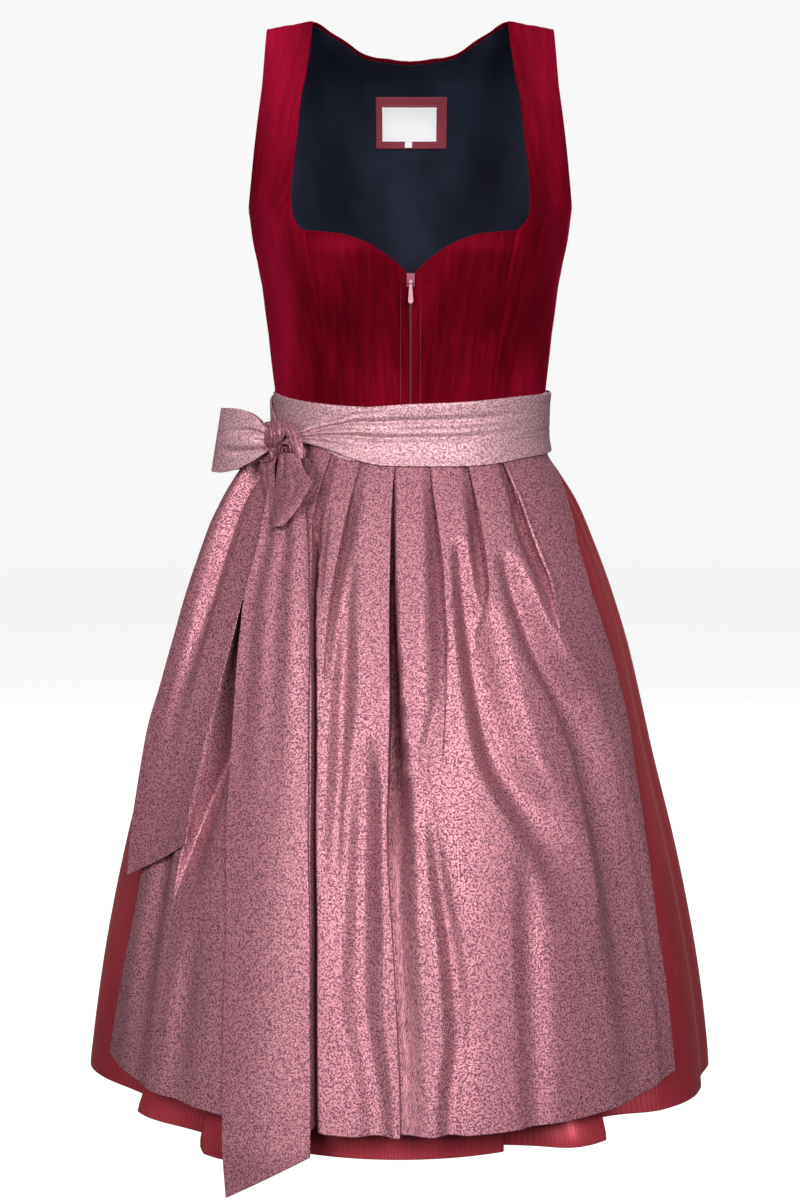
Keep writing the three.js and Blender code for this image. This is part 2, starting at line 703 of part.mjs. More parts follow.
function sliderShape() {
  const plateFront = SEAM + SLIDER.plate;
  const lugFront = PIN.forward + PIN.radius + 0.5;
  const lugs = [-1, 1].map((side) => (
    block(side * LUG.x, PIN.z, LUG.thick, LUG.height, plateFront - 0.2, lugFront)
  ));
  return joined(
    block(0, SLIDER.z, SLIDER.width, SLIDER.height, SEAM, plateFront),
    block(0, SLIDER.z, SLIDER.stem, SLIDER.stemHeight, -VELVET + 0.1, plateFront),
    bar(PIN.radius, 2 * LUG.x, PIN.forward, PIN.z),
    ...lugs,
  );
}

function pullShape() {
  const outline = new THREE.Shape();
  outline.moveTo(-TAB.top / 2, -EYE.inner - 0.3);
  outline.lineTo(-TAB.bottom / 2, -TAB.length + TAB.bottom / 2);
  outline.absarc(0, -TAB.length + TAB.bottom / 2, TAB.bottom / 2, Math.PI, 2 * Math.PI, false);
  outline.lineTo(TAB.top / 2, -EYE.inner - 0.3);
  outline.closePath();
  const plate = new THREE.ExtrudeGeometry(outline, {
    depth: TAB.thick, bevelEnabled: false, curveSegments: 8,
  });
  plate.rotateX(Math.PI / 2).translate(0, -PIN.forward + TAB.thick / 2, PIN.z);
  const eye = bar(EYE.outer, EYE.width, PIN.forward, PIN.z);
  const bore = bar(EYE.inner, EYE.width + 2, PIN.forward, PIN.z);
  return trimmed(joined(plate, eye), bore);
}

// The slider rests on the highest part of the velvet under its plate
const zipSeat = Math.min(...[-1, 1].map((end) => (
  frontPoint(SLIDER.width / 2, SLIDER.z + end * SLIDER.height / 2).y
)));
const slider = addPiece('zip_slider', sliderShape(), MATERIALS.zip);
slider.position.y = zipSeat;
const pull = addPiece('zip_pull', pullShape(), MATERIALS.zip);
pull.position.y = zipSeat;

// ---- skirt ---------------------------------------------------------------

// 1 well under the apron, falling to 0 just outside its edges
function underApron(degrees, z) {
  const left = between(APRON_EDGES, 'z', z, 'left');
  const right = between(APRON_EDGES, 'z', z, 'right');
  const inwards = Math.min(degrees - left, right - degrees);
  return smooth((inwards + 1) / 8);
}

function skirtFold(degrees, z) {
  const open = 0.12 + 0.88 * smooth((WAIST_Z - z) / (WAIST_Z - SKIRT_HEM_Z)) ** 0.8;
  let deepest = 0;
  for (const fold of SKIRT_FOLDS) {
    const away = Math.abs(turnBetween(degrees, fold.at)) / fold.width;
    if (away < 1) deepest = Math.max(deepest, fold.depth * Math.cos(away * Math.PI / 2) ** 2);
  }
  return deepest * open * smooth((WAIST_Z - z) / 40);
}

function skirtSteps(degrees, z) {
  const open = smooth((STEP_TOP_Z - z) / (STEP_TOP_Z - SKIRT_HEM_Z));
  let back = 0;
  let tuck = 0;
  for (const step of SKIRT_STEPS) {
    const away = (degrees - step.at) * step.side / step.width;
    if (away > 0 && away < 1) {
      const fall = smooth(away / STEP_SHARE);
      const rise = smooth((away - STEP_SHARE) / (1 - STEP_SHARE));
      back = Math.max(back, step.depth * fall * (1 - rise));
      tuck -= step.side * step.tuck * fall * (1 - smooth((away - STEP_SHARE) / 0.4));
    }
  }
  return { back: back * open, tuck: tuck * open };
}

function skirtPoint(degrees, z) {
  const cover = underApron(degrees, z) * between(APRON_LOFT, 'z', z, 'in');
  const step = skirtSteps(degrees, z);
  const lift = -Math.max(cover, skirtFold(degrees, z)) - step.back;
  const point = ringPoint(degrees, z, lift);
  return point.addScaledVector(ringDirection(degrees, z).along, step.tuck);
}

const SKIRT_ROWS = [0, 0.018, 0.035, 0.065, 0.11, 0.17, 0.25, 0.36, 0.5, 0.65, 0.79, 0.9, 1];

function skirtColumns(from, to) {
  const list = spaced(from, to, Math.round((to - from) / 7.5));
  for (const fold of SKIRT_FOLDS) {
    list.push(fold.at - fold.width * 0.5, fold.at, fold.at + fold.width * 0.5);
  }
  for (const step of SKIRT_STEPS) {
    for (const share of [0, 0.4, 1, 2.2]) {
      list.push(step.at + step.side * step.width * STEP_SHARE * share);
    }
  }
  const ordered = list.filter((at) => at >= from && at <= to).sort((a, b) => a - b);
  const kept = [from];
  for (const at of ordered) {
    if (at - kept[kept.length - 1] > 0.9 && to - at > 2) kept.push(at);
  }
  kept.push(to);
  return kept.map((at) => (at - from) / (to - from));
}

for (const [name, from, to] of [['skirt_front', -89.9, 89.9], ['skirt_back', 90.1, 269.9]]) {
  const place = (u, v) => {
    const degrees = mix(from, to, u);
    const ahead = Math.max(0, Math.cos(radians(degrees)));
    const hem = SKIRT_HEM_Z - FRONT_HEM_DROP * ahead ** 0.6;
    return skirtPoint(degrees, mix(waistZ(degrees) - SEAM / 2, hem, v));
  };
  const shape = cloth(place, skirtColumns(from, to), SKIRT_ROWS, TAFFETA);
  addPiece(name, shape, MATERIALS.taffeta);
}

// ---- apron ---------------------------------------------------------------

// How deep a valley lies at a place: it opens below its top and closes at its foot
function valleyDepth(valley, degrees, z) {
  const down = (valley.topZ - z) / (valley.topZ - valley.footZ);
  if (down <= 0 || down >= 1) return 0;
  const line = mix(valley.top, valley.foot, down);
  const open = smooth(down / 0.4) * smooth((1 - down) / 0.45);
  if (valley.side === 0) {
    const away = Math.abs(degrees - line) / valley.width;
    return away < 1 ? valley.depth * open * Math.cos(away * Math.PI / 2) ** 2 : 0;
  }
  const away = (degrees - line) * valley.side / valley.width;
  if (away <= 0 || away >= 1) return 0;
  return valley.depth * open * smooth(away / 0.35) * (1 - smooth((away - 0.35) / 0.65));
}

function apronAngle(base, z) {
  const left = between(APRON_EDGES, 'z', z, 'left');
  const right = between(APRON_EDGES, 'z', z, 'right');
  const edge = base > 0 ? right : -left;
  const beyond = (Math.abs(base) - APRON_FIXED) / (APRON_EDGES[0].right - APRON_FIXED);
  const out = beyond > 0 ? mix(APRON_FIXED, edge, beyond) : Math.abs(base);
  return Math.sign(base) * out;
}

function apronPoint(base, v) {
  const turn = Math.abs(base) / APRON_EDGES[0].right;
  const top = apronTopZ(base);
  const corner = base < 0 ? APRON_CORNER_RISE.right : APRON_CORNER_RISE.left;
  const hem = APRON_HEM_Z + corner * turn ** 2;
  const z = mix(top, hem, v);
  const degrees = apronAngle(base, z);
  const depths = APRON_VALLEYS.map((valley) => valleyDepth(valley, degrees, z));
  return ringPoint(degrees, z, APRON_LIFT - Math.max(...depths));
}

const APRON_COLUMNS = [
  -79, -72, -65, -58, -54, -50, -46, -40, -35, -31, -29, -26, -22, -19, -17, -14.5, -11, -8, -5,
  -3, -1, 1.5, 3.5, 5.5, 7.5, 10.5, 14, 17, 20, 22.5, 27, 31, 35, 38, 41, 44, 47, 50, 54, 60, 69,
  79,
];
const APRON_ROWS = [0, 0.025, 0.06, 0.1, 0.15, 0.205, 0.27, 0.34, 0.43, 0.53, 0.65, 0.77, 0.89, 1];
const apronSpan = APRON_EDGES[0].right;
const apronShape = cloth(
  (u, v) => apronPoint(mix(-apronSpan, apronSpan, u), v),
  APRON_COLUMNS.map((at) => (at + apronSpan) / (2 * apronSpan)),
  APRON_ROWS,
  JACQUARD,
);
addPiece('apron_panel', apronShape, MATERIALS.jacquard);

function waistbandPoint(u, v) {
  const degrees = mix(-79, 79, u);
  const top = WAISTBAND_TOP_Z - WAISTBAND_DIP * Math.cos(radians(degrees));
  const foot = apronTopZ(degrees) + 2 * SEAM;
  return ringPoint(degrees, mix(top, foot, v), WAISTBAND_LIFT);
}
const waistband = cloth(waistbandPoint, spaced(0, 1, 26), spaced(0, 1, 3), BAND);
addPiece('apron_waistband', waistband, MATERIALS.jacquard);

// ---- ties and bow --------------------------------------------------------

// A knot: a plump block with the ridges of the cloth pulled round it
function knotShape(grow) {
  const shape = new THREE.SphereGeometry(1, 16, 10);
  const seat = ringPoint(KNOT.at, KNOT.z, KNOT.lift);
  const { out, along } = ringDirection(KNOT.at, KNOT.z);
  const position = shape.attributes.position;
  const point = new THREE.Vector3();
  for (let i = 0; i < position.count; i += 1) {
    point.fromBufferAttribute(position, i);
    const ridge = 1 + KNOT.ridge * Math.cos(5 * Math.atan2(point.y, point.x) + 2 * point.z);
    const widest = Math.max(Math.abs(point.x), Math.abs(point.y), Math.abs(point.z));
    const plump = mix(1, 1 / widest, KNOT.squareness) * ridge;
    const place = seat.clone();
    place.addScaledVector(along, point.x * (KNOT.along * plump + grow));
    place.addScaledVector(out, point.z * (KNOT.out * plump + grow));
    place.z += point.y * (KNOT.up * plump + grow);
    position.setXYZ(i, place.x, place.y, place.z);
  }
  shape.deleteAttribute('normal');
  shape.deleteAttribute('uv');
  return mergeVertices(shape, 1e-4);
}
addPiece('knot', knotShape(0), MATERIALS.jacquard);
const knotCutter = knotShape(TRIM);

// A tie laid round the waist. turn is 1 where its table's angles run with the
// ring's, and -1 where they run against them.
function tieShape(table, turn, steps) {
  const rows = turn > 0 ? table : [...table].reverse();
  const top = columnCurve(rows, 'at', 'top');
  const bottom = columnCurve(rows, 'at', 'bottom');
  const lift = columnCurve(rows, 'at', 'lift');
  const first = table[0].at;
  const last = table[table.length - 1].at;
  const place = (u, v) => {
    const at = mix(first, last, u);
    return ringPoint(turn * at, mix(top(at), bottom(at), v), lift(at));
  };
  return trimmed(cloth(place, spaced(0, 1, steps), spaced(0, 1, 3), BAND), knotCutter);
}
addPiece('tie_under', tieShape(TIE_UNDER, 1, 40), MATERIALS.jacquard);
addPiece('tie_over', tieShape(TIE_OVER, -1, 58), MATERIALS.jacquard);

// A band led along a table's rows, by the share of the way
function bandCurves(table, names) {
  const keys = table.map((row, i) => i / (table.length - 1));
  const curves = {};
  for (const name of names) curves[name] = curveThrough(keys, table.map((row) => row[name]));
  return curves;
}

function sideLoopShape() {
  const seat = ringPoint(KNOT.at, KNOT.z, KNOT.lift);
  const { out, along } = ringDirection(KNOT.at, KNOT.z);
  const turn = radians(SIDE_LOOP_TURN);
  const away = along.clone().multiplyScalar(-Math.cos(turn)).addScaledVector(out, Math.sin(turn));
  const face = out.clone().multiplyScalar(Math.cos(turn)).addScaledVector(along, Math.sin(turn));
  const curves = bandCurves(SIDE_LOOP, ['along', 'out', 'middle', 'high', 'skew']);
  const place = (u, v) => {
    const point = seat.clone();
    point.addScaledVector(away, curves.along(u) + (v - 0.5) * curves.skew(u));
    point.addScaledVector(face, curves.out(u));
    point.z = curves.middle(u) + (0.5 - v) * curves.high(u);
    return point;
  };
  return trimmed(cloth(place, spaced(0, 1, 20), spaced(0, 1, 4), JACQUARD), knotCutter);
}

function hangingLoopShape() {
  const { along } = ringDirection(KNOT.at, KNOT.z);
  const curves = bandCurves(HANGING_LOOP, ['down', 'at', 'wide', 'out']);
  const place = (u, v) => {
    const point = ringPoint(curves.at(v), curves.down(v), curves.out(v));
    return point.addScaledVector(along, (u - 0.5) * curves.wide(v));
  };
  return trimmed(cloth(place, spaced(0, 1, 4), spaced(0, 1, 22), JACQUARD), knotCutter);
}

function tailShape(table, names, steps, spot) {
  const rows = [...table].reverse();
  const curves = {};
  for (const name of names) curves[name] = columnCurve(rows, 'z', name);
  const place = (u, v) => {
    const z = mix(table[0].z, table[table.length - 1].z, v);
    const slant = (1 - u) * smooth((v - TAIL_SLANT_FROM) / (1 - TAIL_SLANT_FROM));
    return spot(curves, u, z, slant);
  };
  return trimmed(cloth(place, spaced(0, 1, 4), spaced(0, 1, steps), JACQUARD), knotCutter);
}

function longTailSpot(curves, u, z, slant) {
  const lower = z - TAIL_LONG_POINT * slant;
  return ringPoint(mix(curves.outer(z), curves.inner(z), u), lower, curves.lift(z));
}

function shortTailSpot(curves, u, z, slant) {
  const facing = radians(curves.facing(z));
  const across = (1 - u) * curves.width(z);
  const point = ringPoint(curves.inner(z), z, curves.lift(z));
  point.x -= across * Math.cos(facing);
  point.y += across * Math.sin(facing);
  point.z -= TAIL_SHORT_POINT * slant;
  return point;
}

addPiece('loop_side', sideLoopShape(), MATERIALS.jacquard);
addPiece('loop_hanging', hangingLoopShape(), MATERIALS.jacquard);
const shortColumns = ['inner', 'lift', 'facing', 'width'];
const shortTail = tailShape(TAIL_SHORT, shortColumns, 16, shortTailSpot);
const longTail = tailShape(TAIL_LONG, ['outer', 'inner', 'lift'], 20, longTailSpot);
addPiece('tail_short', shortTail, MATERIALS.jacquard);
addPiece('tail_long', longTail, MATERIALS.jacquard);

export default garment;
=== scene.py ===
"""Dirndl: velvet bodice, taffeta skirt, and a jacquard apron tied in a bow.

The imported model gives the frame. Every cloth solid is replaced by a thin, finely
folded shell on the same form. Sizes are in millimetres until a mesh is made.
Angles go round the body: 0 is the centre front, 90 the wearer's left side seam.
"""
import math

import bpy
import numpy as np
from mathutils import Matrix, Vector


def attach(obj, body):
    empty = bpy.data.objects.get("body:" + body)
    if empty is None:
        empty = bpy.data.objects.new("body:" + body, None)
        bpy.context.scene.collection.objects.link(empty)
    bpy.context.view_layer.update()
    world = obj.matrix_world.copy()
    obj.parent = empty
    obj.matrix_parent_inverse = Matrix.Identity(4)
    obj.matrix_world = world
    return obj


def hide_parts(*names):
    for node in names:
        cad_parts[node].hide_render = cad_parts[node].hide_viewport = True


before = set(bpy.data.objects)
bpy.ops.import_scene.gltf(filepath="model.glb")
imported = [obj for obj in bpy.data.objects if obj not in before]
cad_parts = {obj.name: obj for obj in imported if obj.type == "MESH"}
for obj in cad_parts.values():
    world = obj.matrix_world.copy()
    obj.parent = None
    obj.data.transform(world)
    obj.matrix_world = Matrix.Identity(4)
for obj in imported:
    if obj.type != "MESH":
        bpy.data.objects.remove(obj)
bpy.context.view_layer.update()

MM = 0.001
BODY = "garment"

# ---- tables: the form, named as in the solids, and the folds of the cloth --------


def table(names, rows):
    """A column of numbers for each name; a comma ends a row."""
    array = np.array([row.split() for row in rows.split(",")], dtype=float)
    return {name: array[:, i] for i, name in enumerate(names.split())}


SEAM = 0.36
WAIST_Z = -384
WAIST_DIP = 9
SKIRT_HEM_Z = -979
FRONT_HEM_DROP = 18  # more than the solid's, as the hem lies further in here
WAISTBAND_TOP_Z = -340.5
WAISTBAND_DIP = 15
APRON_TOP_Z = -395.5
APRON_HEM_Z = -964
APRON_CORNER_RISE_RIGHT = 18
APRON_CORNER_RISE_LEFT = 13
ZIP_HALF_GAP = 1.6
SHOULDER_DROP = 7.5
STRAP_INNER_X = 91
STRAP_OUTER_X = 133
STRAP_FADE = 120
UNDERARM_Z = -175
CUP_X, CUP_Z, CUP_HEIGHT, CUP_SPREAD_X, CUP_SPREAD_Z = 80, -228, 20, 36, 45
WAISTBAND_LIFT = 3.0
APRON_LIFT = 2.6
BODY_POWER = 2.2
HEM_POWER = 2.0

RINGS = table("z half front back shift", """
    0 186 0 0 0, -16 179 22 30 0, -52 164 60 74 0, -89 161.5 90 95 0, -130 158 110 103 0,
    -175 151.7 116 106 0, -200 148 114 107 0, -230 142.3 111 106 0, -260 137.4 107 103 0,
    -292 133.5 99 98 0, -330 130 92 90 0, -360 126.8 91 84 0, -384 126.5 93 82 0,
    -400 129.5 97 84 0, -420 143.5 108 97 -1, -446 160.8 123 115 -2, -484 178.5 143 137 -3,
    -527 196.5 164 158 -4.5, -575 212.5 185 178 -5.5, -628 226.5 206 197 -6.5,
    -682 240 227 215 -7.5, -752 259.5 252 236 -9, -820 275 275 254 -9, -890 288 296 270 -9,
    -964 298 318 284 -9.5, -990 300.5 324 288 -10, -1050 303 328 290 -10
""")
NECK_EDGE = table("z x", """
    0 91, -26 93, -52 96, -75 100, -107 103, -136 106.5, -165 109, -180 108, -190 103, -196 96,
    -215 92, -249 85.5, -285 82, -333 76.5, -395 72
""")
ARMHOLE_EDGE = table("z x", """
    0 133, -52 136, -89.5 140, -130 144.7, -155 148, -168 150.3, -175 151.7
""")
SWEETHEART = table("x z", "0 -237, 15 -224, 28 -214.4, 44 -205.5, 63 -199.5, 84 -197, 96 -196")
BACK_NECK = table("x z", "0 -32, 40 -27, 58 -17, 74 -8, 91 -0.02, 133 -0.02")
APRON_EDGES = table("z left right", """
    -390 -79 79, -423 -76 74, -451 -72 66, -486 -68 60.5, -533 -65 59, -606 -63 62,
    -652 -63 63, -729 -63 60.5, -830 -62 57.5, -964 -64 56.5
""")
APRON_LOFT = table("z centre side", """
    -384 0 0, -396 1.2 1.2, -404 3 3, -430 13 13, -480 26 26, -560 34 34, -900 33 33,
    -950 38 26, -990 44 15
""")
SKIRT_FOLDS = table("at width depth", """
    -91 7 6, 5 13 42, 75 6 5, 88 6 6, 100 8 16, 117 7 12, 136 9 18, 152 7 13, 170 9 19,
    188 8 14, 206 8 18, 224 7 12, 241 8 17, 257 7 12
""")
SKIRT_STEPS = table("at side depth tuck width", """
    -57 -1 42 10 24, -38 -1 20 14 18, 21 1 20 11 17, 40 1 46 15 27
""")
STEP_SHARE = 0.12
STEP_TOP_Z = -690
STEP_DROP = 9

# Pleats and sharp hollows of the apron, from the wearer's right to the left. Each
# follows a line down the cloth: how deep the cloth steps back beyond the line, how far
# it stays back (gap) and where it is out again (width), in degrees, and how far it runs
# under the line (tuck). The number before a table is the way its hollow opens.
PLEAT_COLUMNS = "z at depth gap width tuck"
APRON_PLEATS = (
    # the hollow between the two tails of the bow
    (1, table(PLEAT_COLUMNS, """
        -390 -47 0 0.6 3 0, -430 -48 5 2.5 5 0, -470 -48.8 20 4.5 7 0, -520 -48.8 40 6 8 0,
        -600 -49.3 52 8 10.5 0, -650 -49.5 48 5.5 11 0, -700 -49.3 30 3.6 10 0,
        -760 -49 12 2.8 9 0, -810 -49 0 3 9 0, -990 -49 0 3 9 0
    """)),
    # the first pleat, which runs on along the long tail's edge
    (1, table(PLEAT_COLUMNS, """
        -390 -33 1.2 0.6 4 6, -430 -31 6 0.9 5 6, -465 -29 11 1.3 5 5, -500 -26 24 1.4 2.4 2,
        -560 -22.6 34 1.2 2.0 2, -609 -20.6 34 1.1 1.8 2, -692 -18.6 34 1.0 1.6 2,
        -774 -16.9 33 0.9 1.5 2, -855 -15.8 31 0.8 1.4 2, -940 -14.9 26 0.8 1.5 2,
        -990 -14.6 20 0.8 1.8 2
    """)),
    (1, table(PLEAT_COLUMNS, """
        -390 -17.8 1.2 0.6 3 7, -430 -17.7 6 0.7 4 7, -464 -18.3 13 1.1 4.5 6,
        -510 -18.8 12 1.2 4.5 5, -560 -18.5 6 0.9 4 3, -609 -17.5 0 0.8 4 1,
        -692 -15 0 0.8 4 0, -990 -11.5 0 0.8 4 0
    """)),
    # the deep pleat of the centre front
    (1, table(PLEAT_COLUMNS, """
        -390 -5 1.2 0.6 1.6 3, -412 -4.8 5 0.6 1.5 3, -440 -4.5 16 0.9 1.6 2,
        -500 -3.9 28 1.3 1.9 2, -560 -3.3 38 1.7 2.3 2, -625 -2.8 44 2.2 2.9 2,
        -666 -2.8 44 2.9 3.8 2, -700 -2.8 36 3.2 4.7 2, -745 -2.4 19 2.0 5.5 2,
        -832 -1.2 13 1.2 5.5 2, -941 -0.2 10 1.0 5.5 1, -990 0 9 1.0 5.5 1
    """)),
    (-1, table(PLEAT_COLUMNS, """
        -390 6.2 1.2 0.6 3 6, -430 6.9 8 0.7 3.5 6, -457 7.9 13 1.2 4 6, -500 9 15 1.5 4.8 5,
        -560 9.3 12 1.2 5 4, -620 8.7 5 0.8 5 2, -680 8 0 0.6 5 0, -990 8 0 0.6 5 0
    """)),
    (-1, table(PLEAT_COLUMNS, """
        -390 20.8 1.2 0.6 3 7, -430 20.9 9 0.9 4 7, -470 21.4 17 1.8 5 6, -510 21.2 15 1.7 6 5,
        -540 18.9 10 1.1 5.5 4, -558 17.6 6 0.8 5 3, -590 18 0 0.6 5 0, -990 22 0 0.6 5 0
    """)),
    (-1, table(PLEAT_COLUMNS, """
        -390 37 1.2 0.6 3 7, -430 37.6 10 1.0 4.2 7, -461 38.3 15 1.8 6 6,
        -490 39.8 12 1.5 6.5 5, -512 41.4 8 1.0 6.5 4, -532 41.4 4 0.8 6 2, -570 41 0 0.6 5 0,
        -990 42 0 0.6 5 0
    """)),
)
# Soft troughs of the apron, each along its own line. Where lean is above zero, the
# trough is steep on its low-angle side and comes out slowly on the other.
APRON_FOLDS = [table("z at width depth lean", rows) for rows in (
    """
        -470 13.2 2.6 0 1, -505 14 3.6 12 1, -550 15.2 4.6 20 1, -600 16.8 5.2 22 1,
        -661 20 5.8 21 1, -713 26.5 6.2 14 1, -759 31.6 6.4 6 1, -810 34.5 6 0 1
    """,
    """
        -480 26 2.8 0 1, -520 28.6 4.2 13 1, -573 33.4 5.4 20 1, -620 40 6.2 21 1,
        -681 44.8 6.8 19 1, -752 45.6 7 13 1, -852 45.5 7.5 9 0.6, -990 45 7.5 3 0.3
    """,
    """
        -535 9.6 1 0 0, -560 8.8 1.1 3 0, -607 6.6 1.3 5 0, -661 4.3 1.4 4 0, -695 3.3 1.3 0 0
    """,
    """
        -530 19.4 1 0 0, -546 18.2 1.5 5 0, -556 17.3 1.3 5 0, -568 18.6 1 0 0
    """,
    """
        -620 -8.5 3.5 0 0, -709 -7.6 5 13 0, -790 -7.4 5 14 0, -851 -7 4.6 11 0,
        -941 -4.2 4 9 0, -990 -3.6 4 8 0
    """,
    """
        -690 5.5 2 0 0, -762 7.6 2.6 7 0, -816 9.3 3 9 0, -886 10 3.2 8 0, -928 8.8 3 7 0,
        -990 8 3 6 0
    """,
    """
        -470 -14.6 2 0 0, -520 -14.4 3 7 0, -575 -13.6 3.4 10 0, -650 -13 3.4 10 0,
        -721 -12.6 3.2 7 0, -791 -11.4 3 4 0, -860 -10.4 3 0 0
    """,
    "-440 -25 1.6 0 0, -480 -24 2.4 5 0, -530 -21.8 2 0 0",
    "-620 -56 3.5 0 0, -760 -55 4.5 7 0, -990 -53 5 2 0",
    "-800 -41 3 0 0, -880 -42 4 6 0, -990 -42 4.5 3 0",
    "-600 54 4 0 0, -760 54 4.5 4 0, -990 53 4.5 2 0",
    "-720 25 3 0 0, -820 24 4 5 0, -990 23 4 4 0",
)]

TIE_OVER = table("at top bottom lift", """
    412 -379 -388 14, 407 -377 -388 11, 398 -369 -391 7, 388 -362 -396.5 6, 380 -356 -402 5.8,
    368 -353.5 -407 5.8, 360 -352 -407.3 5.8, 342 -350.5 -407.6 5.8, 325 -348 -405.6 5.8,
    311 -346 -402 5.8, 270 -344 -398 5.8, 250 -343 -392 5.8, 225 -343.5 -378 5.8,
    203 -344 -370 5.8, 190 -344 -368.5 3.1, 184 -345 -368 3.1, 176 -347 -374 3.1,
    150 -354 -392 3.1, 120 -356 -401 3.1, 92 -350 -399 3.1, 79.15 -346 -398 3.1
""")
TIE_UNDER = table("at top bottom lift", """
    79.15 -346 -398 3.1, 100 -352 -401 3.1, 130 -362 -402 3.1, 158 -374 -402 3.1,
    168 -374 -401 3.1, 176 -370 -398 5.8, 200 -352 -388 5.8, 230 -346 -392 5.8,
    262 -348 -396 5.8, 280 -358 -398 6, 292 -372 -396 7, 299 -380 -391 9.5, 305 -381 -389 10.5
""")
TAIL_LONG = table("z outer inner lift", """
    -390 -57 -48 14, -405 -56 -44 11.5, -425 -52.5 -37 10, -448 -48.5 -31.7 9,
    -480 -46 -27.8 7.8, -516 -45 -24.7 7.2, -556 -42.8 -22.4 6.6, -624 -40 -20.5 6,
    -700 -37.4 -18.6 6, -778 -34.1 -16.9 6, -895 -31.1 -15.3 6, -981 -29 -14.4 6
""")
TAIL_LONG_POINT = 46
TAIL_SHORT = table("z inner lift facing width", """
    -390 -53 9 38 34, -405 -50.5 7.6 40 54, -425 -48.5 6.6 42 64, -446 -47.5 5.8 42 68,
    -470 -47 5.4 41 71, -517 -46.4 5.2 41 73, -548 -46.3 5.2 41 74, -603 -47.1 5.6 41 74,
    -656 -48 6 40 75, -700 -48.2 6 40 76, -742 -46.8 6 40 76
""")
TAIL_SHORT_POINT = 40
TAIL_SLANT_FROM = 0.7

# ---- small helpers ---------------------------------------------------------------


def mix(a, b, t):
    return a + (b - a) * t


def smooth(x):
    t = np.clip(x, 0, 1)
    return t * t * (3 - 2 * t)


def sind(degrees):
    return np.sin(np.radians(degrees))


def cosd(degrees):
    return np.cos(np.radians(degrees))


def bump(x):
    """1 at 0, falling softly to 0 at -1 and 1."""
    return np.where(np.abs(x) < 1, np.cos(np.clip(x, -1, 1) * math.pi / 2) ** 2, 0)


def curve(keys, values):
    """Smooth interpolation that never overshoots its rows (Fritsch-Carlson)."""
    keys = np.asarray(keys, dtype=float)
    values = np.asarray(values, dtype=float)
    if keys[0] > keys[-1]:
        keys, values = keys[::-1], values[::-1]
    span = np.diff(keys)
    slope = np.diff(values) / span
    product = slope[:-1] * slope[1:]
    total = slope[:-1] + slope[1:]
    inner = np.where(product <= 0, 0, 2 * product / np.where(total == 0, 1, total))
    tangent = np.concatenate([slope[:1], inner, slope[-1:]])

    def at(x):
        x = np.clip(x, keys[0], keys[-1])
        i = np.clip(np.searchsorted(keys, x) - 1, 0, len(span) - 1)
        s = (x - keys[i]) / span[i]
        rise = values[i + 1] - values[i]
        first = tangent[i] * span[i]
        second = tangent[i + 1] * span[i]
        square = (3 * rise - 2 * first - second) * s * s
        cube = (first + second - 2 * rise) * s * s * s
        return values[i] + first * s + square + cube

    return at


def column(rows, key, name):
    return curve(rows[key], rows[name])


def columns_at(rows, key, at, names):
    """The values of several columns, smooth between the rows."""
    return [column(rows, key, name)(at) for name in names.split()]


def between(rows, key, at, name):
    order = np.argsort(rows[key])
    return np.interp(at, rows[key][order], rows[name][order])


def each(rows):
    """The rows of a table as dicts."""
    for i in range(len(next(iter(rows.values())))):
        yield {name: values[i] for name, values in rows.items()}


def spread(from_, to, steps):
    return np.linspace(from_, to, steps + 1)


def shares(columns, rows):
    """Shares across and down a grid, from 0 to 1."""
    return np.meshgrid(spread(0, 1, columns), spread(0, 1, rows))


def noise(seed):
    return np.random.default_rng(seed)


# ---- the form that carries the cloth ---------------------------------------------

RING_KEY = np.sqrt(-RINGS["z"])
HALF = curve(RING_KEY, RINGS["half"])
FRONT = curve(RING_KEY, RINGS["front"])
BACK = curve(RING_KEY, RINGS["back"])
SHIFT = curve(RING_KEY, RINGS["shift"])


def ring_key(z):
    return np.sqrt(np.maximum(0, -np.asarray(z, dtype=float)))


def ring_power(z):
    return mix(BODY_POWER, HEM_POWER, np.clip((-400 - z) / 400, 0, 1))


def ring(degrees, z, lift=0.0):
    """A point on the ring at a height, moved straight out by lift."""
    degrees, z, lift = np.broadcast_arrays(
        np.asarray(degrees, float), np.asarray(z, float), np.asarray(lift, float)
    )
    key = ring_key(z)
    half = HALF(key)
    sine, cosine = sind(degrees), cosd(degrees)
    depth = np.maximum(np.where(cosine >= 0, FRONT(key), BACK(key)), 1e-6)
    power = ring_power(z)
    wide = np.sign(sine) * np.abs(sine) ** (2 / power)
    deep = -np.sign(cosine) * np.abs(cosine) ** (2 / power)
    across = np.sign(wide) * np.abs(wide) ** (power - 1) / half
    ahead = np.sign(deep) * np.abs(deep) ** (power - 1) / depth
    norm = np.hypot(across, ahead)
    x = SHIFT(key) + half * wide + lift * across / norm
    y = depth * deep + lift * ahead / norm
    return np.stack([x, y, z], axis=-1)


def ring_frame(degrees, z):
    """The directions straight out of the ring and along it."""
    out = ring(degrees, z, 1.0) - ring(degrees, z)
    along = np.stack([-out[..., 1], out[..., 0], np.zeros_like(out[..., 0])], axis=-1)
    return out, along


def ring_angle(x, z):
    share = np.minimum(1, np.abs(x) / HALF(ring_key(z))) ** (ring_power(z) / 2)
    return np.sign(x) * np.degrees(np.arcsin(share))


def waist_dip(degrees):
    return WAIST_DIP * ((1 + cosd(degrees)) / 2) ** 1.5


def waist_z(degrees):
    return WAIST_Z - waist_dip(degrees)


def apron_top_z(degrees):
    """The seam between waistband and apron; it is drawn up beside the bow's knot."""
    drawn_up = 14 * smooth((-degrees - 21) / 25) * smooth((degrees + 79) / 16)
    return APRON_TOP_Z - waist_dip(degrees) + drawn_up


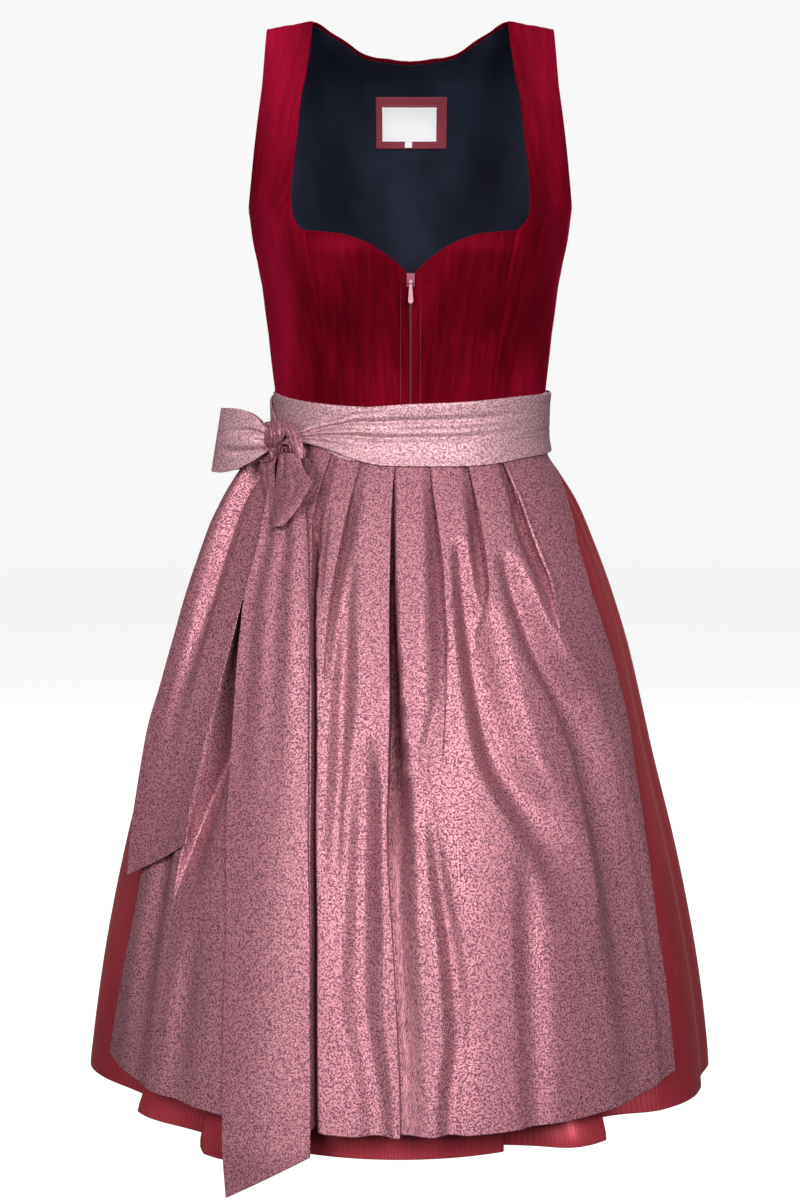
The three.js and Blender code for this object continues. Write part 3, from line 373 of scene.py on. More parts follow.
def shoulder_fall(x, z):
    outwards = (np.abs(x) - STRAP_INNER_X) / (STRAP_OUTER_X - STRAP_INNER_X)
    return SHOULDER_DROP * np.maximum(0, outwards) * np.maximum(0, 1 + z / STRAP_FADE)


def cup(x, z):
    across = (np.abs(x) - CUP_X) / CUP_SPREAD_X
    along = (z - CUP_Z) / CUP_SPREAD_Z
    return CUP_HEIGHT * np.exp(-(across * across + along * along) / 2)


def front_point(x, z):
    angle = ring_angle(x, z)
    point = ring(angle, z)
    point[..., 1] -= cup(x, z) * smooth(2 * cosd(angle))
    point[..., 2] -= shoulder_fall(x, z)
    return point


def back_point(x, z):
    point = ring(180 - ring_angle(x, z), z)
    point[..., 2] -= shoulder_fall(x, z)
    return point


# ---- meshes ------------------------------------------------------------------------


def normals_of(points):
    """Outward normals of a grid: rows go down the body, columns go round it."""
    down = np.gradient(points, axis=0)
    across = np.gradient(points, axis=1)
    normal = np.cross(down, across)
    length = np.linalg.norm(normal, axis=-1, keepdims=True)
    return normal / np.maximum(length, 1e-9)


def travelled(points, axis):
    """The distance along an axis of a grid, from its first line."""
    total = np.cumsum(np.linalg.norm(np.diff(points, axis=axis), axis=-1), axis=axis)
    start = np.zeros_like(np.take(total, [0], axis=axis))
    return np.concatenate([start, total], axis=axis)


def cloth_coordinates(points):
    """Distance along the rows from the middle column, and down the columns, in mm."""
    u = travelled(points, 1)
    return u - u[:, [points.shape[1] // 2]], travelled(points, 0)


def linked_mesh(name, vertices, faces):
    """A smooth mesh in the scene, from vertices in metres."""
    mesh = bpy.data.meshes.new(name)
    mesh.from_pydata(vertices, [], faces)
    mesh.polygons.foreach_set("use_smooth", np.ones(len(mesh.polygons), dtype=bool))
    piece = bpy.data.objects.new(name, mesh)
    bpy.context.scene.collection.objects.link(piece)
    return piece


def add_mesh(name, vertices, faces, cloth=None, inner_faces=None):
    """A mesh from vertices in mm, with its cloth coordinates and its inner faces."""
    piece = linked_mesh(name, (np.asarray(vertices) * MM).tolist(), faces)
    mesh = piece.data
    if cloth is not None:
        layer = mesh.attributes.new("cloth", "FLOAT_VECTOR", "POINT")
        layer.data.foreach_set("vector", (np.asarray(cloth) * MM).ravel())
    if inner_faces is not None:
        mesh.polygons.foreach_set("material_index", np.asarray(inner_faces, dtype=np.int32))
    mesh.update()
    return piece


def grid_faces(rows, columns, offset, flip):
    a = (np.arange(rows - 1)[:, None] * columns + np.arange(columns - 1)[None, :]).ravel()
    a = a + offset
    quads = np.stack([a, a + columns, a + columns + 1, a + 1], axis=1)
    return quads[:, ::-1] if flip else quads


RIM_SHARE = 0.12


def shell_parts(points, thickness, coordinates=None, offset=0):
    """Vertices, faces, cloth coordinates and inner flags of one closed, rimmed sheet."""
    rows, columns = points.shape[:2]
    normal = normals_of(points)
    inner = points - normal * thickness
    u, v = coordinates if coordinates is not None else cloth_coordinates(points)
    flat = np.stack([u, v, np.zeros_like(u)], axis=-1)
    count = rows * columns
    index = np.arange(count).reshape(rows, columns)
    rim = np.concatenate([
        index[0, :-1], index[:-1, -1], index[-1, :0:-1], index[:0:-1, 0],
    ])
    outward = np.zeros_like(points)
    outward[0] += points[0] - points[1]
    outward[-1] += points[-1] - points[-2]
    outward[:, 0] += points[:, 0] - points[:, 1]
    outward[:, -1] += points[:, -1] - points[:, -2]
    outward = outward.reshape(-1, 3)[rim]
    outward /= np.maximum(np.linalg.norm(outward, axis=1, keepdims=True), 1e-9)
    middle = (points.reshape(-1, 3)[rim] + inner.reshape(-1, 3)[rim]) / 2
    middle = middle + outward * thickness * 0.35
    vertices = np.concatenate([points.reshape(-1, 3), inner.reshape(-1, 3), middle])
    cloth = np.concatenate([flat.reshape(-1, 3)] * 2 + [flat.reshape(-1, 3)[rim]])
    faces = [grid_faces(rows, columns, 0, False), grid_faces(rows, columns, count, True)]
    ring_index = np.arange(len(rim)) + 2 * count
    following = np.roll(np.arange(len(rim)), -1)
    faces.append(np.stack([
        rim, rim[following], ring_index[following], ring_index,
    ], axis=1))
    faces.append(np.stack([
        ring_index, ring_index[following], rim[following] + count, rim + count,
    ], axis=1))
    sides = [np.zeros(len(faces[0])), np.ones(len(faces[1])), np.zeros(len(rim) * 2)]
    return vertices, np.concatenate(faces) + offset, cloth, np.concatenate(sides)


def crisp(grid):
    """A grid with one more line just inside each edge, so that only the rim is round."""
    for _ in range(2):
        first = mix(grid[0], grid[1], RIM_SHARE)
        last = mix(grid[-1], grid[-2], RIM_SHARE)
        grid = np.concatenate([grid[:1], [first], grid[1:-1], [last], grid[-1:]])
        grid = np.swapaxes(grid, 0, 1)
    return grid


def shell(name, grids, thickness, coordinates=None, lined=False):
    """One piece made of one or more sheets. Lined sheets have a second material inside."""
    if isinstance(grids, np.ndarray):
        grids = [grids]
    vertices, faces, cloth, sides = [], [], [], []
    offset = 0
    if coordinates is not None:
        coordinates = [crisp(values) for values in coordinates]
    for grid in grids:
        parts = shell_parts(crisp(grid), thickness, coordinates, offset)
        vertices.append(parts[0])
        faces.append(parts[1])
        cloth.append(parts[2])
        sides.append(parts[3])
        offset += len(parts[0])
    return add_mesh(
        name, np.concatenate(vertices), np.concatenate(faces).tolist(),
        np.concatenate(cloth), np.concatenate(sides) if lined else None,
    )


def dress(piece, materials, nodes=()):
    """Materials, body and the solids that the piece stands for."""
    for material in materials if isinstance(materials, (list, tuple)) else [materials]:
        piece.data.materials.append(material)
    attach(piece, BODY)
    if nodes:
        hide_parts(*nodes)
    return piece


def cloth_piece(name, grids, thickness, materials, slot, nodes, **sheet):
    """A shell with its materials and its solids; its cut is not used. Two materials: it is lined."""
    piece = shell(name, grids, thickness, lined=isinstance(materials, list))
    dress(piece, materials, nodes)
    return piece


def ring_faces(rings, sides, inward=False):
    """Quads between rings of points; a ring's last point is joined to its first."""
    faces = []
    for i in range(rings - 1):
        for k in range(sides):
            a, b = i * sides + k, i * sides + (k + 1) % sides
            out_quad, in_quad = (a, b, b + sides, a + sides), (a, a + sides, b + sides, b)
            faces.append(in_quad if inward else out_quad)
    return faces


BAR_SIDES = 5


def tube(path, radius):
    """Vertices and faces of a closed round bar along a path."""
    path = np.asarray(path, dtype=float)
    tangent = np.gradient(path, axis=0)
    tangent /= np.linalg.norm(tangent, axis=1, keepdims=True)
    helper = np.where(np.abs(tangent[:, [2]]) < 0.9, [[0.0, 0.0, 1.0]], [[1.0, 0.0, 0.0]])
    side = np.cross(tangent, helper)
    side /= np.linalg.norm(side, axis=1, keepdims=True)
    top = np.cross(side, tangent)
    turn = np.arange(BAR_SIDES) / BAR_SIDES * 2 * math.pi
    loop = np.cos(turn)[None, :, None] * side[:, None] + np.sin(turn)[None, :, None] * top[:, None]
    vertices = (path[:, None] + loop * radius).reshape(-1, 3)
    faces = ring_faces(len(path), BAR_SIDES)
    faces.append(tuple(range(BAR_SIDES - 1, -1, -1)))
    last = (len(path) - 1) * BAR_SIDES
    faces.append(tuple(range(last, last + BAR_SIDES)))
    return vertices, faces


def gathered(parts):
    """Joins lists of (vertices, faces)."""
    vertices, faces, offset = [], [], 0
    for points, quads in parts:
        vertices.append(points)
        faces.extend(tuple(i + offset for i in face) for face in quads)
        offset += len(points)
    return np.concatenate(vertices), faces


def resample(path, step):
    length = travelled(path, 0)
    at = np.arange(0, length[-1], step)
    return np.stack([np.interp(at, length, path[:, k]) for k in range(3)], axis=1)


FINE_STEP = 0.5


def stitches(name, path, material, stitch, gap, radius):
    """A row of sewn stitches along a path, each half sunk in the cloth."""
    parts = []
    fine = resample(path, FINE_STEP)
    period = int(round((stitch + gap) / FINE_STEP))
    run = int(round(stitch / FINE_STEP))
    for start in range(0, len(fine) - run, period):
        bar = fine[start:start + run + 1:max(1, run // 3)]
        if len(bar) > 1:
            parts.append(tube(bar, radius))
    return dress(add_mesh(name, *gathered(parts)), material)


# ---- materials ---------------------------------------------------------------------


class Graph:
    """A small builder of shader nodes."""

    def __init__(self, name):
        self.material = bpy.data.materials.new(name)
        self.material.use_nodes = True
        self.tree = self.material.node_tree
        self.shader = self.tree.nodes["Principled BSDF"]

    def add(self, kind, settings=None, **inputs):
        node = self.tree.nodes.new(kind)
        for name, value in (settings or {}).items():
            setattr(node, name, value)
        for name, value in inputs.items():
            self.put(node, name.replace("_", " "), value)
        return node

    def put(self, node, name, value):
        socket = node.inputs[name]
        if isinstance(value, bpy.types.NodeSocket):
            self.tree.links.new(value, socket)
        else:
            socket.default_value = value

    def cloth(self, across=1, down=1):
        """The cloth's own coordinates, in metres, scaled."""
        source = self.add("ShaderNodeAttribute", {"attribute_name": "cloth"})
        place = self.add(
            "ShaderNodeMapping", Vector=source.outputs["Vector"], Scale=(across, down, 1)
        )
        return place.outputs["Vector"]

    def noise(self, vector, scale, detail=2.0, roughness=0.5, distortion=0.0):
        return self.add(
            "ShaderNodeTexNoise", Vector=vector, Scale=scale, Detail=detail,
            Roughness=roughness, Distortion=distortion,
        ).outputs["Fac"]

    def ramp(self, value, low, high, to_low=0.0, to_high=1.0):
        node = self.add(
            "ShaderNodeMapRange", {"interpolation_type": "SMOOTHSTEP"}, Value=value,
            From_Min=low, From_Max=high, To_Min=to_low, To_Max=to_high,
        )
        return node.outputs["Result"]

    def math(self, operation, a, b=0.0):
        node = self.add("ShaderNodeMath", {"operation": operation})
        self.put(node, 0, a)
        self.put(node, 1, b)
        return node.outputs["Value"]

    def sum(self, a, share_a, b, share_b):
        first, second = self.math("MULTIPLY", a, share_a), self.math("MULTIPLY", b, share_b)
        return self.math("ADD", first, second)

    def blend(self, factor, a, b):
        """A mix of two colours. Sockets 6 and 7 are the colours of this node."""
        node = self.add("ShaderNodeMix", {"data_type": "RGBA"})
        for socket, value in ((0, factor), (6, a), (7, b)):
            self.put(node, socket, value)
        return node.outputs[2]

    def bump(self, height, strength, distance):
        node = self.add("ShaderNodeBump", Height=height, Strength=strength, Distance=distance)
        return node.outputs["Normal"]

    def wave(self, direction, vector, scale=1.0, distortion=0.0):
        return self.add(
            "ShaderNodeTexWave", {"bands_direction": direction}, Vector=vector, Scale=scale,
            Distortion=distortion,
        ).outputs["Fac"]

    def finish(self, **inputs):
        for name, value in inputs.items():
            self.put(self.shader, name.replace("_", " "), value)
        return self.material


def rgb(hex_code):
    """A colour as it is seen, turned to linear light."""
    channels = [int(hex_code[i:i + 2], 16) / 255 for i in (0, 2, 4)]
    return tuple(
        c / 12.92 if c <= 0.04045 else ((c + 0.055) / 1.055) ** 2.4 for c in channels
    ) + (1.0,)


def velvet_material():
    g = Graph("velvet")
    wide = g.noise(g.cloth(9, 5), 1.0, 3.0, 0.6)
    streak = g.noise(g.cloth(160, 14), 1.0, 3.0, 0.6)
    pile = g.noise(g.cloth(), 1400.0, 2.0)
    pile_lie_and_sheen = g.add("ShaderNodeAttribute", {"attribute_name": "pile_and_painted_sheen"}).outputs["Fac"]
    tone = g.sum(wide, 0.65, streak, 0.35)
    colour = g.blend(g.ramp(tone, 0.34, 0.66), rgb("46000b"), rgb("760419"))
    # The stored mask paints the velvet lighter: partly pile brushing, partly painted sheen on the
    # straps and sides.
    pile_and_painted_sheen = g.math("MULTIPLY", pile_lie_and_sheen, g.ramp(tone, 0.36, 0.6, 0.62, 1))
    colour = g.blend(pile_and_painted_sheen, colour, rgb("9c0e30"))
    colour = g.blend(g.ramp(pile, 0.6, 0.72, 0, 0.4), colour, rgb("b42848"))
    height = g.sum(pile, 0.5, streak, 0.5)
    return g.finish(
        Base_Color=colour, Roughness=0.9, Normal=g.bump(height, 0.35, 0.0006),
        Sheen_Weight=0.8, Sheen_Roughness=0.3, Sheen_Tint=rgb("d01848"),
        Specular_IOR_Level=0.02,
    )


def lining_material():
    g = Graph("lining")
    weave = g.wave("DIAGONAL", g.cloth(900, 900), 1.0, 0.4)
    soft = g.noise(g.cloth(14, 10), 1.0, 2.0)
    colour = g.blend(g.ramp(soft, 0.3, 0.7), rgb("161824"), rgb("232636"))
    return g.finish(
        Base_Color=colour, Roughness=0.8, Normal=g.bump(weave, 0.12, 0.0003),
        Specular_IOR_Level=0.08,
    )


def taffeta_material():
    g = Graph("taffeta")
    stripe = g.wave("X", g.cloth(), 95.0)
    slub = g.noise(g.cloth(260, 24), 1.0, 3.0, 0.6)
    rib = g.noise(g.cloth(60, 1500), 1.0, 2.0)
    shade = g.noise(g.cloth(8, 3), 1.0, 2.0)
    base = g.blend(g.ramp(shade, 0.3, 0.7), rgb("a42c3c"), rgb("c64050"))
    base = g.blend(g.ramp(stripe, 0.35, 0.9, 0, 0.4), base, rgb("6a2c26"))
    base = g.blend(g.ramp(slub, 0.5, 0.75, 0, 0.25), base, rgb("b84a54"))
    height = g.sum(rib, 0.6, stripe, 0.4)
    return g.finish(
        Base_Color=base, Roughness=0.42, Metallic=0.35,
        Normal=g.bump(height, 0.15, 0.0004),
        Sheen_Weight=0.8, Sheen_Roughness=0.35, Sheen_Tint=rgb("b0605a"),
        Specular_IOR_Level=0.4,
    )


def jacquard_material(name, ground, figure, gloss):
    """Satin with a small woven vermicelli: curls on the contour lines of a noise."""
    g = Graph(name)
    vector = g.cloth()
    field = g.noise(vector, 430.0, 1.0, 0.4, 0.6)
    away = g.math("ABSOLUTE", g.math("SUBTRACT", field, 0.5))
    curl = g.ramp(away, 0.03, 0.055, 1, 0)
    leaf = g.ramp(g.noise(vector, 560.0, 0.0, 0.5, 0.2), 0.56, 0.6)
    motif = g.math("MAXIMUM", curl, g.math("MULTIPLY", leaf, 0.85))
    thread = g.noise(g.cloth(2600, 500), 1.0, 1.0)
    wide = g.noise(g.cloth(9, 3), 1.0, 2.0)
    light = g.blend(g.ramp(wide, 0.3, 0.7), ground, g.blend(0.2, ground, rgb("d6a3a6")))
    colour = g.blend(g.math("MULTIPLY", motif, 0.95), light, figure)
    colour = g.blend(g.ramp(thread, 0.35, 0.75, 0, 0.12), colour, rgb("e0b4b6"))
    height = g.sum(motif, -0.7, thread, 0.3)
    rough = g.ramp(motif, 0, 1, gloss, gloss + 0.16)
    return g.finish(
        Base_Color=colour, Roughness=rough, Normal=g.bump(height, 0.22, 0.0004),
        Metallic=0.38, Specular_IOR_Level=0.3,
    )


def woven_material(name, light, dark, scale):
    g = Graph(name)
    warp = g.wave("X", g.cloth(scale, scale))
    weft = g.wave("Y", g.cloth(scale, scale))
    weave = g.math("MULTIPLY", warp, weft)
    soft = g.noise(g.cloth(40, 40), 1.0, 2.0)
    colour = g.blend(g.ramp(weave, 0.1, 0.9, 0, 0.5), light, dark)
    colour = g.blend(g.ramp(soft, 0.3, 0.8, 0, 0.25), colour, dark)
    return g.finish(
        Base_Color=colour, Roughness=0.75, Normal=g.bump(weave, 0.3, 0.0003),
        Sheen_Weight=0.2, Specular_IOR_Level=0.3,
    )


def metal_material(name, dark, light):
    g = Graph(name)
    speck = g.noise(g.add("ShaderNodeTexCoord").outputs["Object"], 900.0, 2.0)
    colour = g.blend(g.ramp(speck, 0.4, 0.7), rgb(dark), rgb(light))
    return g.finish(
        Base_Color=colour, Roughness=g.ramp(speck, 0.3, 0.7, 0.28, 0.4), Metallic=0.35,
        Normal=g.bump(speck, 0.05, 0.0002), Coat_Weight=0.4, Coat_Roughness=0.2,
    )


def thread_material(name, code):
    g = Graph(name)
    twist = g.noise(g.add("ShaderNodeTexCoord").outputs["Object"], 3000.0, 1.0)
    colour = g.blend(g.ramp(twist, 0.3, 0.7, 0.0, 0.3), rgb(code), rgb("200008"))
    return g.finish(Base_Color=colour, Roughness=0.6, Sheen_Weight=0.3)


VELVET = velvet_material()
LINING = lining_material()
TAFFETA = taffeta_material()
JACQUARD = jacquard_material("jacquard", rgb("bf7c88"), rgb("5f2842"), 0.43)
BAND = jacquard_material("jacquard_band", rgb("dcaeb6"), rgb("8f6270"), 0.5)
PATCH = woven_material("patch", rgb("8a3040"), rgb("5e1a2a"), 1600)
LABEL = woven_material("label", rgb("f4f4f6"), rgb("dcdde4"), 2200)
TAPE = woven_material("tape", rgb("6a1422"), rgb("3a0812"), 1800)
ENAMEL = metal_material("pull_enamel", "d08a98", "e2a6b2")
DARK_ENAMEL = metal_material("slider_enamel", "8e4258", "a8586e")
RED_THREAD = thread_material("red_thread", "7c1228")
ROSE_THREAD = thread_material("rose_thread", "d9a0a6")
PATCH_THREAD = thread_material("patch_thread", "6a1c2c")

# ---- bodice --------------------------------------------------------------------------

SWEETHEART_CURVE = column(SWEETHEART, "x", "z")
NECK_CURVE = column(NECK_EDGE, "z", "x")
ARMHOLE_CURVE = column(ARMHOLE_EDGE, "z", "x")
BACK_NECK_CURVE = column(BACK_NECK, "x", "z")
PRINCESS_TOP_X, PRINCESS_TOP_Z = 96, -196
SIDE_SEAM_AT = 89.93
PRINCESS_FOOT = float(ring_angle(NECK_EDGE["x"][-1], WAIST_Z))
VELVET_THICK = 1.6

# Creases of the bodice: from a place to a place, in x and z, width, and depth inwards
BODICE_CREASES = table("x1 z1 x2 z2 width depth", """
    112 -352 104 -300 5 1.6, 96 -350 92 -318 4 1.4, 124 -340 118 -270 6 1.2,
    -114 -350 -108 -305 5 1.4, -126 -342 -121 -280 6 1.2, 40 -352 52 -300 9 1.0,
    -36 -352 -50 -310 9 1.0, 60 -300 88 -262 12 1.2, -60 -300 -88 -262 12 1.2,
    28 -352 24 -325 5 1.0, 120 -190 134 -150 7 1.0, -120 -190 -134 -150 7 1.0,
    20 -248 60 -226 8 0.8, -20 -248 -60 -226 8 0.8
""")

# Where the velvet is painted lighter, partly for pile brushing and partly as painted sheen on the
# straps and the sides that turn away: centre, half sizes and share
BRUSHED_PILE_AND_SHEEN = table("x z wide tall share", """
    -122 -40 46 150 0.9, -136 -230 44 130 1.0, -130 -310 46 110 1.0, 124 -40 42 150 0.45,
    138 -190 26 120 0.35, 108 -340 26 50 0.4, 62 -208 50 12 0.3, -64 -208 50 12 0.3,
    -30 -330 34 60 0.16, 40 -300 30 50 0.14, 0 -120 60 130 0.15, -92 -362 30 20 0.3
""")


def brush_pile_and_paint_sheen(piece):
    """Stores at every point of a velvet piece how much it is painted lighter: partly pile brushing,
    partly painted sheen.
    """
    places = np.empty(len(piece.data.vertices) * 3)
    piece.data.vertices.foreach_get("co", places)
    x, _, z = places.reshape(-1, 3).T / MM
    pile_lie_and_sheen = np.zeros_like(x)
    for row in each(BRUSHED_PILE_AND_SHEEN):
        away = np.hypot((x - row["x"]) / row["wide"], (z - row["z"]) / row["tall"])
        pile_lie_and_sheen += row["share"] * bump(away)
    layer = piece.data.attributes.new("pile_and_painted_sheen", "FLOAT", "POINT")
    layer.data.foreach_set("value", np.clip(pile_lie_and_sheen, 0, 1))


def crease_depth(rows, x, z):
    depth = np.zeros_like(x)
    for row in each(rows):
        dx, dz = row["x2"] - row["x1"], row["z2"] - row["z1"]
        share = ((x - row["x1"]) * dx + (z - row["z1"]) * dz) / (dx * dx + dz * dz)
        share = np.clip(share, 0, 1)
        away = np.hypot(x - row["x1"] - share * dx, z - row["z1"] - share * dz)
        fade = smooth((1 - share) / 0.5) * smooth(share / 0.15 + 0.5)
        depth += row["depth"] * bump(away / (row["width"] * 1.6)) * fade
    return depth


def bodice_relief(x, z):
    """Creases, the placket beside the zip and the sunk princess seam, inwards in mm."""
    relief = crease_depth(BODICE_CREASES, x, z)
    wide = np.abs(x)
    relief += 0.5 * bump((wide - 9) / 1.6) * (z < -232)
    relief -= 0.5 * bump((wide - 5) / 4) * (z < -236)
    princess = NECK_CURVE(z)
    seam = 0.7 * bump((wide - princess) / 2.6) - 0.35 * bump((wide - princess - 4) / 3)
    relief += np.where(z < -198, seam, 0)
    relief += 0.35 * np.sin(wide * 0.31 + z * 0.045) * smooth((z + 390) / 60)
    return relief


def pressed(points, relief):
    return points - normals_of(points) * relief[..., None]


def centre_front(u, v):
    top_x = mix(ZIP_HALF_GAP, PRINCESS_TOP_X - SEAM / 2, u)
    z = mix(SWEETHEART_CURVE(top_x), waist_z(mix(0, PRINCESS_FOOT, u)) + SEAM / 2, v)
    x = mix(ZIP_HALF_GAP, NECK_CURVE(np.minimum(z, PRINCESS_TOP_Z)) - SEAM / 2, u)
    return x, z


def side_front(u, v):
    foot = waist_z(mix(PRINCESS_FOOT, 90, u)) + SEAM / 2
    upper = mix(-0.02, PRINCESS_TOP_Z, (np.minimum(v, 0.5) / 0.5) ** 1.3)
    z = np.where(v < 0.5, upper, mix(PRINCESS_TOP_Z, foot, (v - 0.5) / 0.5))
    half = HALF(ring_key(z))
    outer = np.where(z > UNDERARM_Z, ARMHOLE_CURVE(z), half)
    inner = NECK_CURVE(z) + np.where(z < -195, SEAM / 2, 0)
    to = np.where(z > UNDERARM_Z, ring_angle(outer, z), SIDE_SEAM_AT)
    angle = mix(ring_angle(inner, z), to, u)
    return half * sind(angle) ** (2 / BODY_POWER), z


def mirrored(points):
    """The same grid on the wearer's right, still facing outwards."""
    points = points[:, ::-1].copy()
    points[..., 0] *= -1
    return points


def front_panel(place, side, us, vs):
    u, v = np.meshgrid(us, vs)
    x, z = place(u, v)
    points = front_point(x, z)
    points = pressed(points, bodice_relief(x * side, z))
    return mirrored(points) if side < 0 else points


def eased(steps, power=1.6):
    """0 to 1, finer at both ends."""
    t = spread(0, 1, steps)
    return np.where(t < 0.5, (2 * t) ** power / 2, 1 - (2 * (1 - t)) ** power / 2)


SIDES = ((-1, "right"), (1, "left"))
for side, word in SIDES:
    grid = front_panel(centre_front, side, eased(54), eased(74))
    brush_pile_and_paint_sheen(cloth_piece(
        f"velvet_front_{word}", grid, VELVET_THICK, [VELVET, LINING], "velvet",
        [f"bodice_front_{word}"],
        flat=(0.098, 0.19), held="stretched", rests_on=["zip_tapes"], area=0.0165,
    ))
    rows = np.concatenate([spread(0, 0.5, 90)[:-1], spread(0.5, 1, 60)])
    grid = front_panel(side_front, side, eased(40, 1.4), rows)
    brush_pile_and_paint_sheen(cloth_piece(
        f"velvet_side_{word}", grid, VELVET_THICK, [VELVET, LINING], "velvet",
        [f"bodice_side_{word}"],
        flat=(0.15, 0.41), held="stretched", rests_on=["velvet_back"], area=0.036,
    ))


def back_places(u, v):
    top_x = mix(STRAP_OUTER_X, -STRAP_OUTER_X, u)
    top = BACK_NECK_CURVE(np.abs(top_x))
    z = mix(top, waist_z(180) + SEAM / 2, v ** 1.25)
    half = HALF(ring_key(z))
    outer = np.where(z > UNDERARM_Z, ARMHOLE_CURVE(z), half)
    limit = np.where(z > UNDERARM_Z, ring_angle(outer, z), SIDE_SEAM_AT)
    widest = half * sind(limit) ** (2 / BODY_POWER)
    share = top_x / STRAP_OUTER_X
    spread_out = mix(share, np.sign(share) * sind(90 * np.abs(share)), v * 0.6)
    return widest * spread_out, z


def back_grid(us, vs):
    u, v = np.meshgrid(us, vs)
    x, z = back_places(u, v)
    points = back_point(x, z)
    wide = np.abs(x)
    dart = mix(62, 44, smooth((-z - 60) / 300))
    relief = np.where(z < -60, 0.8 * bump((wide - dart) / 2.6), 0)
    relief += 0.6 * bump((wide - 96) / 6) * smooth((-z - 300) / 50)
    relief += 0.35 * np.sin(wide * 0.29 + z * 0.05) * smooth((z + 390) / 60)
    return points, relief


SEAM_STRIP_X = 96
SEAM_STRIP_Z = -150


def velvet_inside_neck(piece):
    """The inside of the back is velvet too, but for the strip at each side seam."""
    centres = np.empty(len(piece.data.polygons) * 3)
    piece.data.polygons.foreach_get("center", centres)
    x, _, z = centres.reshape(-1, 3).T / MM
    sides = np.empty(len(x), dtype=np.int32)
    piece.data.polygons.foreach_get("material_index", sides)
    sides[(np.abs(x) < SEAM_STRIP_X) | (z > SEAM_STRIP_Z)] = 0
    piece.data.polygons.foreach_set("material_index", sides)


us, vs = spread(0, 1, 110), eased(110, 1.3)
points, relief = back_grid(us, vs)
back = cloth_piece(
    "velvet_back", pressed(points, relief), VELVET_THICK, [VELVET, LINING], "velvet",
    ["bodice_back"],
    flat=(0.42, 0.4), held="stretched", rests_on=["velvet_side_left"], area=0.125,
)
velvet_inside_neck(back)
brush_pile_and_paint_sheen(back)

# The lining lies inside the back, a little loose: faint upright waves
LINING_DEPTH = 2.5
LINING_THICK = 0.7
LOOSE = 0.35
points, relief = back_grid(us, mix(0.014, 0.985, vs))
offset = normals_of(points) * LINING_DEPTH
wave = LOOSE * (1 + np.sin(points[..., 0] * 0.11 + points[..., 2] * 0.02))
wave *= smooth((-points[..., 2] - 60) / 80)
cloth_piece(
    "lining", points - offset - normals_of(points) * wave[..., None], LINING_THICK, LINING,
    "lining", ["lining_back"],
    flat=(0.42, 0.4), held="stretched", rests_on=["velvet_back"], area=0.12,
)


def on_back(left, right, top, bottom, inside, columns=40, rows=24):
    """A patch on the inside of the back."""
    x, z = np.meshgrid(spread(right, left, columns), spread(top, bottom, rows))
    points = back_point(x, z)
    return points - normals_of(points) * inside


PATCH_BOX, PATCH_DEPTH, PATCH_THICK = (-33, 36, -61, -110), 4.5, 0.9
TAG_BOX, TAG_DEPTH, TAG_THICK = (-27, 26, -70, -103), 5.9, 0.7
TAB_BOX, TAB_DEPTH, TAB_THICK = (-4.7, 2, -95, -109), 5.6, 0.6
cloth_piece(
    "patch_cloth", on_back(*PATCH_BOX, PATCH_DEPTH), PATCH_THICK, PATCH, "patch",
    ["label_patch"],
    flat=(0.069, 0.05), held="laid", rests_on=["lining"],
)
cloth_piece(
    "label_ribbon", on_back(*TAG_BOX, TAG_DEPTH), TAG_THICK, LABEL, "label", ["label"],
    flat=(0.053, 0.034), held="laid", rests_on=["patch_cloth"],
)
cloth_piece(
    "size_ribbon", on_back(*TAB_BOX, TAB_DEPTH, 8, 12), TAB_THICK, LABEL, "label",
    ["size_tab"],
    flat=(0.01, 0.014), held="laid", rests_on=["patch_cloth"], area=0.000094,
)


def border(left, right, top, bottom, inset, inside):
    corners = [
        (left + inset, top - inset), (right - inset, top - inset),
        (right - inset, bottom + inset), (left + inset, bottom + inset),
        (left + inset, top - inset),
    ]
    x, z = [], []
    for (xa, za), (xb, zb) in zip(corners[:-1], corners[1:]):
        x.extend(mix(xa, xb, spread(0, 1, 24)))
        z.extend(mix(za, zb, spread(0, 1, 24)))
    points = back_point(np.array(x), np.array(z))
    points[:, 1] -= inside
    return points


stitches("patch_stitches", border(*PATCH_BOX, 2.2, 5.6), PATCH_THREAD, 2.0, 0.8, 0.22)
stitches("label_stitches", border(*TAG_BOX, 1.2, 6.75), ROSE_THREAD, 1.6, 0.8, 0.16)

# ---- front zip -----------------------------------------------------------------------

TAPE_THICK, TAPE_DEPTH = 0.8, 2.7
x, z = np.meshgrid(spread(0.35, 13, 8), spread(-240, -378, 60))
tape = front_point(x, z)
tape -= normals_of(tape) * TAPE_DEPTH
cloth_piece(
    "zip_tapes", [mirrored(tape), tape], TAPE_THICK, TAPE, "tape", ["zip_tape_right", "zip_tape_left"],
    flat=(0.026, 0.138), held="laid", rests_on=["velvet_front_left"],
)

# The coil of the zip: small hooked teeth, one side between the next
teeth = []
for i, z in enumerate(np.arange(-250, -377, -1.25)):
    side = -1 if i % 2 else 1
    seat = front_point(np.array([0.5]), np.array([z]))[0]
    hook = np.array([
        (side * 1.9, seat[1] + 2.3, z), (side * 0.9, seat[1] + 1.35, z),
        (-side * 0.5, seat[1] + 1.3, z), (-side * 0.7, seat[1] + 1.9, z - 0.3),
    ])
    teeth.append(tube(hook, 0.42))
dress(add_mesh("zip_teeth", *gathered(teeth)), RED_THREAD)

# Topstitching beside the zip
for side, word in SIDES:
    z = spread(-236, -380, 120)
    path = front_point(np.full_like(z, 9.0), z)
    path[:, 0] *= side
    path[:, 1] += 0.35
    stitches(f"zip_stitches_{word}", path, RED_THREAD, 2.4, 1.2, 0.24)

# ---- skirt ---------------------------------------------------------------------------


